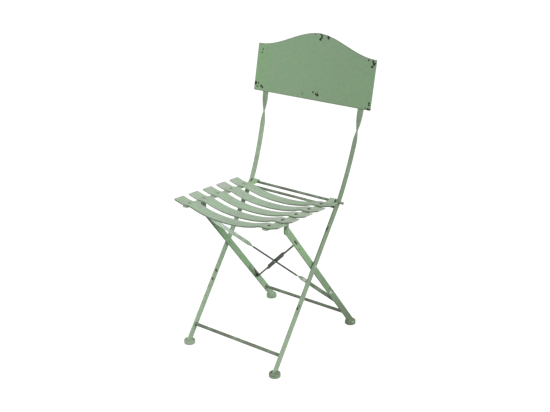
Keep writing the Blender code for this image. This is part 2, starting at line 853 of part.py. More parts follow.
def make_slats(rails):
    """The dished slats, each riveted to both rails."""
    rise = rail_thickness / 2 + seam + slat_thickness / 2
    path = slat_centre_line()
    half = slat_thickness / 2
    outline = [(x, y, 0) for x, y in offset_line(path, half) + offset_line(path, -half)[::-1]]
    stack = slat_thickness + rail_thickness + seam + 2 * running_gap
    head = (slat_head_diameter, slat_head_height)
    tail = (slat_tail_diameter, slat_tail_height)
    profile = rivet_profile(head, slat_pin_diameter, stack, tail)
    up_seat = Vector((0, -sin(seat_angle), cos(seat_angle)))
    for index in range(slat_count):
        back = last_slat_from_hook + (slat_count - 1 - index) * slat_pitch
        place = hook_rod - along(seat_angle, back)
        matrix = front_frame(place + up_seat * rise, seat_angle)
        slat = plate(f"slat_{index + 1}", [outline], slat_depth, matrix, seat_axis, seat_paint)
        slat = as_mesh(slat, seat_paint)
        for end in (-1, 1):
            round_end_corners(slat, end * slat_length / 2, slat_corner)
        for (side_name, side), rail in zip(sides, rails):
            centre = place + Vector((rail_x * side, 0, 0))
            reach = up_seat * (rail_thickness + slat_thickness) * 2
            drill([slat, rail], centre - reach, centre + reach, slat_pin_diameter + 2 * hole_clearance)
            top = centre + up_seat * (rise + half + running_gap)
            name = f"{side_name}_slat_{index + 1}_rivet"
            turned(name, profile, top, up_seat, 12, seat_axis, bare_steel)


def build():
    """Make every piece of the chair."""
    for side_name, side in sides:
        make_upright(f"{side_name}_upright", side)
    make_panel()
    foot_drop = pivot_height - foot_height
    make_feet("front", upright_x, pivot.y - foot_drop * tan(upright_lean), frame_axis)
    make_feet("rear", leg_x, pivot.y + foot_drop * tan(leg_lean), legs_axis)
    make_cross_rods()
    make_pivot_rivets()
    for side_name, side in sides:
        make_rear_leg(f"{side_name}_rear_leg", side)
    make_braces()
    make_seat_pivots()
    rails = [make_rail(f"{side_name}_seat_rail", side) for side_name, side in sides]
    for side_name, side in sides:
        make_lug(f"{side_name}_lug", side)
    make_slats(rails)


build()
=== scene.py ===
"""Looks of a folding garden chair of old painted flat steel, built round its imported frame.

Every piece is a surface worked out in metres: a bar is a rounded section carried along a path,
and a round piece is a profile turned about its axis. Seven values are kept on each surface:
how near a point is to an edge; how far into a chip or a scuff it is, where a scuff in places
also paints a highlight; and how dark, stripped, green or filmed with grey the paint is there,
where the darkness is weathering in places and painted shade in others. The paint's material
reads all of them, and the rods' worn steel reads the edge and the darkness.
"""

import json

import bpy
import numpy as np
from bpy.props import FloatProperty, FloatVectorProperty, IntProperty, PointerProperty
from mathutils import Matrix, Vector

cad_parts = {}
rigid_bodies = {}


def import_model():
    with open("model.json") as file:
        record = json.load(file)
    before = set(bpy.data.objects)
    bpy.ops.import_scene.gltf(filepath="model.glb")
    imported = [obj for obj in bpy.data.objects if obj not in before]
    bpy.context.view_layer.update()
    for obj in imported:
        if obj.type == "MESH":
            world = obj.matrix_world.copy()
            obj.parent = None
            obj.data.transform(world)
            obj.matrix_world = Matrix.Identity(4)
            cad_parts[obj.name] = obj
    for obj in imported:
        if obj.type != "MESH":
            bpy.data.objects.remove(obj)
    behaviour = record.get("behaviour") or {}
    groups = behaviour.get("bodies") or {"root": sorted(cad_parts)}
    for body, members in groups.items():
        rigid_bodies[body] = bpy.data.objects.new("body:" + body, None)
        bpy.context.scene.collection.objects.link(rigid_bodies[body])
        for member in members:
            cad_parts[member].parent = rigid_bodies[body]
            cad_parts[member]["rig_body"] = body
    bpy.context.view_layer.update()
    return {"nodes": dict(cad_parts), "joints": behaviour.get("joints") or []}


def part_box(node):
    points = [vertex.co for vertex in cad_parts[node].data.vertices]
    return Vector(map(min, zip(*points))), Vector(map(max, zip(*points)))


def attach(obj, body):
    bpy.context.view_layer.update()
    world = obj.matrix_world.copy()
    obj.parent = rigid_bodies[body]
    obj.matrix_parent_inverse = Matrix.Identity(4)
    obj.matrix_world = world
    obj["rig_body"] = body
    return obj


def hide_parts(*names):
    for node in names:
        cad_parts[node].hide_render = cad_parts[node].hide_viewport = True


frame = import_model()

bl_info = {
    "name": "Folding Garden Chair Finish",
    "version": (1, 0, 0),
    "blender": (4, 5, 0),
    "location": "View3D > Sidebar > Garden Chair",
    "description": "Builds the painted surfaces of a folding garden chair round its packed frame",
    "category": "Object",
}

SIDES = (("left", -1), ("right", 1))
ACROSS = np.array((1.0, 0.0, 0.0))
# The photograph's width and height in pixels, and the camera sensor's width in millimetres
PHOTO_WIDTH, PHOTO_HEIGHT = 550, 412
SENSOR_WIDTH = 36


# Properties


def length(name, description, default):
    """A size in metres."""
    return FloatProperty(name=name, description=description, default=default, unit="LENGTH")


def turn(name, description, degrees):
    """An angle, stored in radians."""
    radians = float(np.radians(degrees))
    return FloatProperty(name=name, description=description, default=radians, unit="ROTATION")


def colour(name, description, default):
    """A colour in linear light."""
    return FloatVectorProperty(
        name=name, description=description, default=default, subtype="COLOR", size=3, min=0, max=1
    )


def share(name, description, default):
    """A plain number."""
    return FloatProperty(name=name, description=description, default=default)


class BarSizes(bpy.types.PropertyGroup):
    """Sizes of the flat bars, and of the uprights' bends."""

    upright_width: length("Upright width", "Width of the uprights' bar", 0.0185)
    upright_thickness: length("Upright thickness", "Thickness of the uprights' bar", 0.0045)
    leg_width: length("Leg width", "Width of the rear legs' bar", 0.020)
    corner: length("Corner", "Radius of a bar's long edges", 0.0008)
    border: length("Border", "Width of the strip beside an edge where the paint is rubbed", 0.0016)
    step: length("Step", "Distance between sections along a bar", 0.0017)
    knee_distance: length("Knee distance", "From the leg pivot to the uprights' knee", 0.1975)
    knee_angle: turn("Knee angle", "How far the knee bends", 9.4)
    knee_radius: length("Knee radius", "Radius of the knee", 0.12)
    back_lean: turn("Back lean", "How far the back leans from upright", 11.8)
    sweep_length: length("Sweep length", "Length of the slow bend above the knee", 0.235)
    splay: turn("Splay", "How far the uprights spread above the knee", 2.3)
    twist_start: length("Twist start", "From the knee to the start of the twist", 0.1765)
    twist_length: length("Twist length", "Length of the quarter turn below the back", 0.092)
    top_drop: length("Top drop", "From the panel's shoulder down to the uprights' ends", 0.020)
    leg_top_reach: length("Leg top reach", "From the seat pivot to the leg's end", 0.014)
    leg_top_corner: length("Leg top corner", "Radius of the corners of the leg's end", 0.004)


class PanelSizes(bpy.types.PropertyGroup):
    """Sizes of the arched sheet back."""

    thickness: length("Thickness", "Thickness of the sheet", 0.0015)
    bottom: length("Bottom", "Height of the lower edge above the floor", 0.6865)
    side_height: length("Side height", "Height of the panel at its sides", 0.1427)
    crown_rise: length("Crown rise", "Rise of the arch above the sides", 0.052)
    crown_half_width: length("Crown half width", "Half the width of the arch", 0.202)
    slope_share: share("Slope share", "Share of the rise that is a straight slope", 0.1)
    corner: length("Corner", "Radius of the panel's corners", 0.003)
    step: length("Step", "Distance between the points of the sheet", 0.0016)


class BraceSizes(bpy.types.PropertyGroup):
    """Sizes of the crossed strips between the rear legs."""

    width: length("Width", "Width of the strips", 0.012)
    thickness: length("Thickness", "Thickness of the strips", 0.002)
    upper_distance: length("Upper distance", "From the leg pivot up to the upper bend", 0.122)
    lower_distance: length("Lower distance", "From the leg pivot down to the lower bend", 0.210)
    upper_tab: length("Upper tab", "Length of the tab above the upper bend", 0.015)
    upper_radius: length("Upper radius", "Radius of the upper bend", 0.006)
    lower_tab: length("Lower tab", "Length of the tab folded back up the leg", 0.062)
    lower_radius: length("Lower radius", "Radius of the lower bend", 0.003)
    flat_half: length("Flat half", "Half the length of the untwisted middle", 0.076)
    twist_length: length("Twist length", "Length of each quarter turn", 0.024)


class SeatSizes(bpy.types.PropertyGroup):
    """Sizes of the rails, the lugs and the slats."""

    rail_thickness: length("Rail thickness", "Thickness of the rails", 0.004)
    rail_overhang: length("Rail overhang", "How far a rail shows before the first slat", 0.004)
    rail_corner: length("Rail corner", "Radius of the corners of the rail's front end", 0.008)
    hook_clearance: length("Hook clearance", "Gap between the hook and its rod", 0.0005)
    hook_ramp: turn("Hook ramp", "How steeply the rail rises to its hook", 48)
    hook_bend: length("Hook bend", "Radius of the bend at the ramp's foot", 0.007)
    hook_tail: length("Hook tail", "Straight end of the hook", 0.002)
    lug_drop: length("Lug drop", "From the rail's middle down to the seat pivot", 0.0277)
    lug_radius: length("Lug radius", "Radius of the lug's round end", 0.010)
    slat_depth: length("Slat depth", "Width of a slat", 0.040)
    slat_thickness: length("Slat thickness", "Thickness of a slat", 0.0035)
    slat_sag: length("Slat sag", "How deep the seat is dished", 0.019)
    slat_power: share("Slat power", "How square the dish is", 2.3)
    slat_tip_rise: length("Slat tip rise", "How far the tips rise outside the rails", 0.0086)
    slat_corner: length("Slat corner", "Radius of the slats' corners", 0.004)
    slat_blend: length("Slat blend", "Length over which a slat's bends are blended", 0.008)
    slat_count: IntProperty(name="Slat count", description="Number of slats", default=5, min=2)


class RivetSizes(bpy.types.PropertyGroup):
    """Heights and widths of the rivets' heads."""

    pivot_head: length("Pivot head", "Width of the leg pivots' heads", 0.013)
    pivot_height: length("Pivot head height", "Height of the leg pivots' heads", 0.0035)
    seat_head: length("Seat head", "Width of the seat pivots' heads", 0.011)
    seat_height: length("Seat head height", "Height of the seat pivots' heads", 0.0022)
    brace_head: length("Brace head", "Width of the brace rivets' heads", 0.008)
    slat_head: length("Slat head", "Width of the slat rivets' heads", 0.009)
    small_height: length("Small head height", "Height of the small rivets' heads", 0.0022)


class PaintColours(bpy.types.PropertyGroup):
    """Colours of the paint and of what shows through it."""

    back: colour("Back", "Paint of the back panel", (0.238, 0.375, 0.220))
    frame: colour("Frame", "Paint of the uprights", (0.373, 0.510, 0.348))
    legs: colour("Legs", "Paint of the rear legs", (0.290, 0.450, 0.270))
    # The seat's colour is paler than the back's paint: partly rubbed paint and partly painted sheen
    seat: colour("Seat", "Paint of the slats and the rails", (0.320, 0.425, 0.305))
    # The brace's colour is partly pale paint and partly painted light on the pale strip's lit end
    brace: colour("Brace", "Pale paint of the brace that kept it", (0.700, 0.840, 0.715))
    faded: colour("Faded", "Paint that has gone grey", (0.300, 0.340, 0.285))
    fresh: colour("Fresh", "Paint that has kept its green", (0.235, 0.430, 0.190))
    # The aged colour is also what painted shade darkens the paint towards
    aged: colour("Aged", "Darker paint, handled and weathered", (0.135, 0.190, 0.115))
    # The chalk colour also paints the highlight at the right leg's lower rivet
    chalk_and_highlight: colour("Chalk", "Pale primer along rubbed edges", (0.500, 0.520, 0.460))
    bare: colour("Bare", "Bare dark steel", (0.028, 0.036, 0.024))
    rust: colour("Rust", "Brown stain round a chip", (0.150, 0.140, 0.090))
    steel: colour("Steel", "Worn steel of rods and rivets", (0.195, 0.215, 0.165))
    dust: colour("Dust", "Pale grey film on the seat", (0.450, 0.450, 0.425))


class StageSizes(bpy.types.PropertyGroup):
    """The camera, the lamps and the floor."""

    azimuth: turn("Azimuth", "Direction of the camera, from the front towards the right", 37.919)
    elevation: turn("Elevation", "Height of the camera as an angle", 21.102)
    roll: turn("Roll", "Turn of the camera about its own axis", -0.588)
    distance: length("Distance", "From the camera to its target", 2.770)
    target: FloatVectorProperty(
        name="Target",
        description="What the camera looks at",
        default=(0.043, -0.048305, 0.4346),
        subtype="TRANSLATION",
    )
    lens: share("Lens", "Focal length in millimetres on a 36 mm sensor", 64.04)
    sky: share("Sky", "Strength of the light from all round", 0.85)
    key_light: share("Key light", "Power of the soft lamp at the front left, in watts", 18)
    side_light: share("Side light", "Power of the soft lamp at the right, in watts", 42)
    back_light: share("Back light", "Power of the soft lamp behind, in watts", 8)


class ChairSettings(bpy.types.PropertyGroup):
    """All the settings of the chair."""

    bars: PointerProperty(type=BarSizes)
    panel: PointerProperty(type=PanelSizes)
    braces: PointerProperty(type=BraceSizes)
    seat: PointerProperty(type=SeatSizes)
    rivets: PointerProperty(type=RivetSizes)
    paint: PointerProperty(type=PaintColours)
    stage: PointerProperty(type=StageSizes)


# Places taken from the frame


def joint_place(name):
    """Where a joint turns."""
    places = [joint["pos_m"] for joint in frame["joints"] if joint["name"] == name]
    return np.array(places[0], float)


def middle(node):
    """The middle of a CAD node's box."""
    low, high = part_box(node)
    return (np.array(low) + np.array(high)) / 2


def extent(node):
    """The size of a CAD node's box."""
    low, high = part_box(node)
    return np.array(high) - np.array(low)


def foot_top(node):
    """The middle of a foot's upper face."""
    return middle(node) + np.array((0, 0, extent(node)[2] / 2))


def slope(start, end):
    """The angle above the floor of a line in the side view, from +Y."""
    return np.arctan2(end[2] - start[2], end[1] - start[1])


def along(angle):
    """The unit vector at an angle above the floor, rearwards."""
    angle = np.asarray(angle)
    return np.stack([np.zeros_like(angle), np.cos(angle), np.sin(angle)], -1)


def camera_axes(sizes):
    """The camera's right, up and back, turned by azimuth and elevation, then rolled about back."""
    azimuth, elevation, roll = sizes.azimuth, sizes.elevation, sizes.roll
    level = np.cos(elevation)
    back = np.array((np.sin(azimuth) * level, -np.cos(azimuth) * level, np.sin(elevation)))
    right = np.array((np.cos(azimuth), np.sin(azimuth), 0))
    up = np.cross(back, right)
    rolled_right = right * np.cos(roll) + up * np.sin(roll)
    rolled_up = up * np.cos(roll) - right * np.sin(roll)
    return rolled_right, rolled_up, back


def under_pixels(spots, on, normal, sizes):
    """Spots placed in the photograph's pixels, as (across, down, radius), carried to a plane.

    The ray through a pixel is its distance from the picture's middle along the camera's right
    and up, less the focal length in pixels along its back. It meets the plane at eye + t ray,
    where t is (on - eye) . normal / ray . normal.
    """
    right, up, back = camera_axes(sizes)
    eye = np.array(sizes.target) + back * sizes.distance
    focal = PHOTO_WIDTH * sizes.lens / SENSOR_WIDTH
    across, down, radius = np.reshape(spots, (-1, 3)).T[:, :, None]
    ray = (across - PHOTO_WIDTH / 2) * right + (PHOTO_HEIGHT / 2 - down) * up - focal * back
    t = (on - eye) @ normal / (ray @ normal)
    return np.hstack([eye + t[:, None] * ray, radius])


pivot = joint_place("leg_fold")
seat_pivot = joint_place("seat_fold")
hook_rod = middle("hook_rod") * (0, 1, 1)
upright_angle = slope(foot_top("right_front_foot"), pivot)
leg_angle = slope(foot_top("right_rear_foot"), pivot)
seat_angle = slope(middle("slat_1"), middle("slat_5"))
# Gap left between pieces that touch on the real chair
seam = 0.0003


# Surfaces


def unit(vectors):
    """Each vector at length 1."""
    return vectors / np.linalg.norm(vectors, axis=-1, keepdims=True)


def smooth_step(t):
    """An even change from 0 to 1: 3 t squared less 2 t cubed."""
    t = np.clip(t, 0, 1)
    return t * t * (3 - 2 * t)


def drawn_in(distance, radius):
    """How far a rounded end is drawn in at a distance from it: r less the root of r^2 - (r - d)^2."""
    inside = np.clip(radius - distance, 0, radius)
    return radius - np.sqrt(radius**2 - inside**2)


def stations(total, step, ends=()):
    """Distances along a bar, evenly spaced, and closer where each (place, radius) end is rounded."""
    places = [np.linspace(0, total, max(int(round(total / step)), 2) + 1)]
    for place, radius in ends:
        bend = radius * (1 - np.cos(np.linspace(0, np.pi / 2, 7)))
        places.append(bend if place == 0 else total - bend)
    return np.unique(np.round(np.concatenate(places), 6))


def outline(half_width, half_thickness, corner, border, spans=4):
    """A rounded rectangle as shares of its half sizes, anticlockwise from its +w side.

    A point lies at w = share_w * (half_width - corner) + arc_w * corner, and t likewise. Each
    corner is a quarter circle of four points that count as edge, and each long face has a point
    at the border beside the corner and evenly spaced points between.
    """
    wide = 1 - min(border / max(half_width - corner, 1e-6), 0.6)
    thin = 1 - min(border / max(half_thickness - corner, 1e-6), 0.6)
    rows = []
    inner = 1 - 2 * np.arange(1, spans) / spans
    inner = inner[np.abs(inner) < wide * 0.98]
    for sign_w, sign_t, start in ((1, 1, 0), (-1, 1, 90), (-1, -1, 180), (1, -1, 270)):
        for angle in np.radians(start + np.linspace(0, 90, 4)):
            rows.append((sign_w, np.cos(angle), sign_t, np.sin(angle), 1))
        if start in (0, 180):
            for place in [wide, *inner, -wide]:
                rows.append((place * sign_w, 0, sign_t, sign_t, 0))
        else:
            for place in (thin, -thin):
                rows.append((sign_w, sign_w, place * sign_t, 0, 0.5))
    return np.array(rows)


def swept(centres, wide, half_width, half_thickness, section, corner, thin=None):
    """A section carried along a path: P(i, k) = centre i + w(i, k) * wide i + t(i, k) * thin i.

    The run is the path's own direction. Unless thin is given, wide is squared to the run and
    thin is run x wide. Both ends are closed by one flat face.
    """
    count = len(centres)
    if thin is None:
        run = unit(np.gradient(centres, axis=0))
        wide = np.broadcast_to(wide, centres.shape)
        wide = unit(wide - run * (wide * run).sum(-1, keepdims=True))
        thin = np.cross(run, wide)
    wide = np.broadcast_to(wide, centres.shape)
    thin = np.broadcast_to(thin, centres.shape)
    half_width = np.broadcast_to(half_width, count)
    half_thickness = np.broadcast_to(half_thickness, count)
    round_off = np.minimum(corner, np.minimum(half_width, half_thickness) * 0.95)[:, None]
    w = section[:, 0] * (half_width[:, None] - round_off) + section[:, 1] * round_off
    t = section[:, 2] * (half_thickness[:, None] - round_off) + section[:, 3] * round_off
    points = centres[:, None] + w[..., None] * wide[:, None] + t[..., None] * thin[:, None]
    edge = np.broadcast_to(section[:, 4], w.shape).copy()
    edge[0] = edge[-1] = 1
    return tube(points, edge)


def tube(points, edge):
    """Faces round a grid of closed rings (i, k), with both ends closed."""
    rings, around = points.shape[:2]
    index = np.arange(rings * around).reshape(rings, around)
    ahead = np.roll(index, -1, axis=1)
    quads = np.stack([index[:-1], ahead[:-1], ahead[1:], index[1:]], -1).reshape(-1, 4)
    faces = quads.tolist() + [index[0, ::-1].tolist(), index[-1].tolist()]
    return points.reshape(-1, 3), faces, edge.ravel()


def turned(profile, at, axis, around=40, flare=0):
    """A profile of (radius, height, edge) turned about an axis: P = at + h axis + r (cos u + sin v).

    Flare is an extra radius at each place of the profile, uneven round the axis as a
    hand-laid weld is: it is multiplied by 0.8 + 0.12 sin (3 u + 40 x) + 0.08 sin 7 u.
    """
    profile = np.array(profile, float)
    axis = np.array(axis, float)
    first = unit(np.cross(axis, (0.3, 0.5, 0.8)))
    second = np.cross(axis, first)
    angle = np.linspace(0, 2 * np.pi, around, endpoint=False)
    circle = np.cos(angle)[:, None] * first + np.sin(angle)[:, None] * second
    uneven = 0.8 + 0.12 * np.sin(3 * angle + at[0] * 40) + 0.08 * np.sin(7 * angle)
    radius = profile[:, :1] + np.broadcast_to(flare, len(profile))[:, None] * uneven
    centres = np.asarray(at) + profile[:, 1, None, None] * axis
    points = centres + radius[..., None] * circle
    edge = np.clip(np.broadcast_to(profile[:, 2:], radius.shape), 0, 1)
    return points, edge


def lathe(profile, at, axis, around=40, flare=0):
    """A turned solid whose profile starts and ends on its axis."""
    points, edge = turned(profile, at, axis, around, flare)
    inner, values, faces = points[1:-1], edge[1:-1], []
    flat, quads, values = tube(inner, values)
    quads = quads[:-2]
    low, high, last = len(flat), len(flat) + 1, len(flat) - around
    for k in range(around):
        after = (k + 1) % around
        faces.append([low, after, k])
        faces.append([high, last + k, last + after])
    flat = np.vstack([flat, points[0, :1], points[-1, :1]])
    return flat, quads + faces, np.append(values, (edge[0, 0], edge[-1, 0]))


def ring(profile, at, axis, around=40):
    """A turned solid with a hole: the profile is a closed loop."""
    points, edge = turned(profile, at, axis, around)
    index = np.arange(len(profile) * around).reshape(len(profile), around)
    ahead, above = np.roll(index, -1, axis=1), np.roll(index, -1, axis=0)
    corner = np.roll(above, -1, axis=1)
    quads = np.stack([index, ahead, corner, above], -1).reshape(-1, 4)
    return points.reshape(-1, 3), quads.tolist(), edge.ravel()


def dome(radius, height, steps=6):
    """A domed head's profile from its rim up to its crown: r cos a, h sin a."""
    angles = np.linspace(0, np.pi / 2, steps + 1)
    rows = [(radius * np.cos(a), height * np.sin(a), 0.7 * np.cos(a) ** 4) for a in angles]
    rows[-1] = (0, height, 0)
    return rows


# A mark's strength at its middle, and what it has lost at its radius
MARK_PEAK, MARK_LOSS = 1.3, 0.65


def marks(points, spots):
    """How far into a mark each point is: the highest of peak - loss * d / r, and at most 1."""
    value = np.zeros(len(points))
    for x, y, z, radius in spots:
        distance = np.linalg.norm(points - (x, y, z), axis=1)
        value = np.maximum(value, MARK_PEAK - MARK_LOSS * distance / radius)
    return np.minimum(value, 1)


def heights(points, *levels):
    """A value that changes evenly with height, through the given (height, value) pairs."""
    return np.interp(points[:, 2], *zip(*levels))


# Faces that meet at more than this angle, in degrees, are shaded with a sharp edge between
SHARP_FROM = 38


def piece(node, suffix, surfaces, material, chips=(), scuffs_and_highlights=(), **shades):
    """One mesh of the given closed surfaces, which stands for a CAD node and rides on its body.

    Chips and scuffs are spots, and a scuff in places also paints a highlight. The shades of
    darkness (weathering and, in places, painted shade), bareness, freshness and dust are each a
    number, an array with a value for each point, or a function of the points.
    """
    points, faces, edges, start = [], [], [], 0
    for surface_points, surface_faces, surface_edge in surfaces:
        points.append(surface_points)
        edges.append(surface_edge)
        faces += [[start + corner for corner in face] for face in surface_faces]
        start += len(surface_points)
    points = np.vstack(points)
    mesh = bpy.data.meshes.new(f"{node}_{suffix}")
    mesh.from_pydata(points.tolist(), [], faces)
    layers = {
        "edge": np.concatenate(edges),
        "chip": marks(points, chips),
        "scuff_and_highlight": marks(points, scuffs_and_highlights),
    }
    for name in ("age", "bare", "fresh", "dust"):
        given = shades.get(name, 0.0)
        values = given(points) if callable(given) else given
        layers[name] = np.broadcast_to(values, len(points))
    for name, values in layers.items():
        layer = mesh.attributes.new(name, "FLOAT", "POINT")
        layer.data.foreach_set("value", values.astype(np.float32))
    mesh.shade_smooth()
    mesh.set_sharp_from_angle(angle=float(np.radians(SHARP_FROM)))
    mesh.materials.append(material)
    obj = bpy.data.objects.new(mesh.name, mesh)
    bpy.context.scene.collection.objects.link(obj)
    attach(obj, frame["nodes"][node]["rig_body"])
    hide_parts(node)
    return obj


# Materials


class Wires:
    """A short way to add nodes to a material and wire them up."""

    def __init__(self, name):
        self.material = bpy.data.materials.new(name)
        self.material.use_nodes = True
        self.tree = self.material.node_tree
        self.shader = self.tree.nodes["Principled BSDF"]
        self.place = self.add("ShaderNodeTexCoord").outputs["Object"]

    def add(self, kind, sockets=None, **settings):
        """One node, its settings, and what goes into its sockets: a value or another socket."""
        node = self.tree.nodes.new(kind)
        for key, value in settings.items():
            setattr(node, key, value)
        for key, value in (sockets or {}).items():
            self.put(node.inputs[key], value)
        return node

    def put(self, socket, value):
        """A value or a link into a socket."""
        if isinstance(value, bpy.types.NodeSocket):
            self.tree.links.new(value, socket)
        elif isinstance(value, (int, float)):
            socket.default_value = value
        else:
            socket.default_value = (*value, 1) if len(socket.default_value) == 4 else value

    def noise(self, scale, detail, roughness, shift=0):
        """Cloudy noise from 0 to 1, its scale in features per metre, moved by a shift."""
        place = self.place
        if shift:
            sockets = {"Vector": place, "Location": (shift, shift * 0.7, -shift)}
            place = self.add("ShaderNodeMapping", sockets).outputs["Vector"]
        sockets = {"Vector": place, "Scale": scale, "Detail": detail, "Roughness": roughness}
        return self.add("ShaderNodeTexNoise", sockets).outputs["Fac"]

    def attribute(self, name):
        """A value kept on the surface."""
        return self.add("ShaderNodeAttribute", attribute_name=name).outputs["Fac"]

    def math(self, operation, first, second=0.0, third=0.0):
        """The result of one arithmetic node."""
        node = self.add("ShaderNodeMath", {0: first, 1: second, 2: third}, operation=operation)
        return node.outputs[0]

    def between(self, value, low, high):
        """An even change from 0 to 1 as a value goes from low to high."""
        sockets = {"Value": value, "From Min": low, "From Max": high}
        return self.add("ShaderNodeMapRange", sockets, interpolation_type="SMOOTHSTEP").outputs[0]

    def mix(self, factor, first, second, blend="MIX"):
        """Two colours mixed by a factor."""
        node = self.add("ShaderNodeMix", data_type="RGBA", blend_type=blend)
        for socket, value in zip((0, 6, 7), (factor, first, second)):
            self.put(node.inputs[socket], value)
        return node.outputs[2]


def paint(name, base, colours, patches, flaking, rubbing, shift):
    """Old brushed paint on steel.

    Slow clouds shift its hue, patches have gone grey, kept their green or taken a film, and aged
    paint is darker; the same darkening also stands for painted shade where a piece asks for it.
    Edges are stained and rubbed pale, and so are scuffs, some of which also paint a highlight.
    Chips go down to dark steel through a brown rim: they are the marks on the piece broken up by
    noise, and a few flakes by noise alone. Bare places are stripped to worn steel.
    """
    w = Wires(name)
    edge, age = w.attribute("edge"), w.attribute("age")
    clouds = w.noise(9, 2, 0.5, shift)
    blotches = w.noise(48, 3, 0.6, shift + 3)
    mottle = w.noise(130, 3, 0.6, shift + 5)
    grain = w.noise(420, 3, 0.6, shift + 7)
    flakes = w.noise(380, 3, 0.65, shift + 9)
    fine = w.noise(1500, 2, 0.5)

    # Greener, greyer, filmed, kept and darkened paint, the darkening being weathering and in places
    # painted shade, then a grain in its tone
    green = w.between(w.math("MULTIPLY_ADD", blotches, 0.6, clouds), 0.86, 1.0)
    skin = w.mix(w.math("MULTIPLY", green, 0.45 * patches), base, colours.fresh)
    grey = w.between(w.math("MULTIPLY_ADD", mottle, 0.5, blotches), 0.74, 0.86)
    skin = w.mix(w.math("MULTIPLY", grey, 0.7 * patches), skin, colours.faded)
    film = w.math("MULTIPLY", w.attribute("dust"), w.between(blotches, 0.34, 0.62))
    skin = w.mix(film, skin, colours.dust)
    bright = w.math("MULTIPLY", w.attribute("fresh"), w.between(mottle, 0.38, 0.56))
    skin = w.mix(bright, skin, colours.fresh)
    dark = w.math("MULTIPLY", age, w.math("MULTIPLY_ADD", blotches, 0.5, 0.55))
    skin = w.mix(dark, skin, colours.aged)
    shade = w.math("MULTIPLY_ADD", grain, 0.26, 0.87)
    shade = w.math("MULTIPLY", shade, w.math("MULTIPLY_ADD", mottle, 0.20, 0.90))
    tone = w.add("ShaderNodeCombineColor", {0: shade, 1: shade, 2: shade}).outputs[0]
    skin = w.mix(1.0, skin, tone, "MULTIPLY")

    # Stained and rubbed edges, and scuffs, some of which also paint a highlight
    stain = w.math("MULTIPLY", edge, w.between(mottle, 0.66 - 0.2 * rubbing, 0.72))
    skin = w.mix(w.math("MULTIPLY", stain, 0.55), skin, colours.aged)
    pale = w.math("MULTIPLY", edge, w.between(blotches, 0.66 - 0.2 * rubbing, 0.74))
    scuff_and_highlight = w.math("MULTIPLY_ADD", w.math("SUBTRACT", mottle, 0.5), 1.2, w.attribute("scuff_and_highlight"))
    pale = w.math("MAXIMUM", w.math("MULTIPLY", pale, 0.6), w.between(scuff_and_highlight, 0.40, 0.60))
    skin = w.mix(pale, skin, colours.chalk_and_highlight)

    # Chips with a brown rim, and bare steel
    chip = w.math("MULTIPLY_ADD", w.math("SUBTRACT", flakes, 0.5), 1.1, w.attribute("chip"))
    loose = w.math("MULTIPLY_ADD", edge, 0.05, flakes)
    loose = w.math("SUBTRACT", loose, 0.31 - 0.10 * flaking)
    chip = w.math("MAXIMUM", chip, loose)
    rim = w.between(chip, 0.30, 0.50)
    chip = w.between(chip, 0.44, 0.54)
    skin = w.mix(w.math("MULTIPLY", rim, 0.55), skin, colours.rust)
    skin = w.mix(chip, skin, colours.bare)
    metal = w.math("MULTIPLY_ADD", w.math("SUBTRACT", mottle, 0.5), 0.9, w.attribute("bare"))
    metal = w.between(metal, 0.44, 0.56)
    steel = w.mix(w.between(grain, 0.35, 0.65), colours.bare, colours.steel)
    skin = w.mix(metal, skin, steel)
    chip = w.math("MAXIMUM", chip, metal)

    # What the shader takes from these: colour, roughness, metal and bump
    w.put(w.shader.inputs["Base Color"], skin)
    rough = w.math("MULTIPLY_ADD", grain, 0.3, 0.5)
    w.put(w.shader.inputs["Roughness"], w.math("MULTIPLY_ADD", chip, 0.12, rough))
    w.put(w.shader.inputs["Metallic"], w.math("MULTIPLY", chip, 0.3))
    w.shader.inputs["Specular IOR Level"].default_value = 0.22
    height = w.math("MULTIPLY_ADD", grain, 0.25, w.math("MULTIPLY", fine, 0.08))
    height = w.math("MULTIPLY_ADD", mottle, 0.4, height)
    height = w.math("SUBTRACT", height, w.math("MULTIPLY", chip, 0.9))
    bump = w.add("ShaderNodeBump", {"Height": height, "Strength": 0.5, "Distance": 0.0004})
    w.put(w.shader.inputs["Normal"], bump.outputs["Normal"])
    return w.material


def worn_metal(name, colours, remains):
    """Dull steel, mottled brown and dark, with patches where the green paint is left."""
    w = Wires(name)
    edge = w.attribute("edge")
    patches = w.noise(28, 4, 0.65)
    mottle = w.noise(260, 3, 0.6, 2)
    fine = w.noise(1300, 2, 0.5)
    skin = w.mix(w.between(mottle, 0.34, 0.62), colours.aged, colours.steel)
    skin = w.mix(w.math("MULTIPLY", w.between(patches, 0.52, 0.62), 0.25), skin, colours.rust)
    pits = w.between(w.math("MULTIPLY_ADD", patches, 0.5, mottle), 0.86, 0.96)
    skin = w.mix(w.math("MULTIPLY", pits, 0.8), skin, colours.bare)
    kept = w.math("MULTIPLY_ADD", mottle, 0.4, w.math("SUBTRACT", 1.0, patches))
    kept = w.math("SUBTRACT", kept, w.math("MULTIPLY", edge, 0.05))
    kept = w.between(kept, 0.90 - 0.34 * remains, 0.96 - 0.30 * remains)
    painted = w.mix(w.between(mottle, 0.4, 0.7), colours.legs, colours.faded)
    skin = w.mix(w.math("MULTIPLY", kept, 0.45), skin, painted)
    skin = w.mix(w.math("MULTIPLY", w.attribute("age"), 0.8), skin, colours.bare)
    w.put(w.shader.inputs["Base Color"], skin)
    w.put(w.shader.inputs["Roughness"], w.math("MULTIPLY_ADD", mottle, 0.3, 0.40))
    w.put(w.shader.inputs["Metallic"], w.math("MULTIPLY", w.math("SUBTRACT", 1.0, kept), 0.25))
    height = w.math("MULTIPLY_ADD", kept, 0.5, w.math("MULTIPLY", mottle, 0.4))
    height = w.math("MULTIPLY_ADD", fine, 0.1, height)
    bump = w.add("ShaderNodeBump", {"Height": height, "Strength": 0.6, "Distance": 0.0003})
    w.put(w.shader.inputs["Normal"], bump.outputs["Normal"])
    return w.material


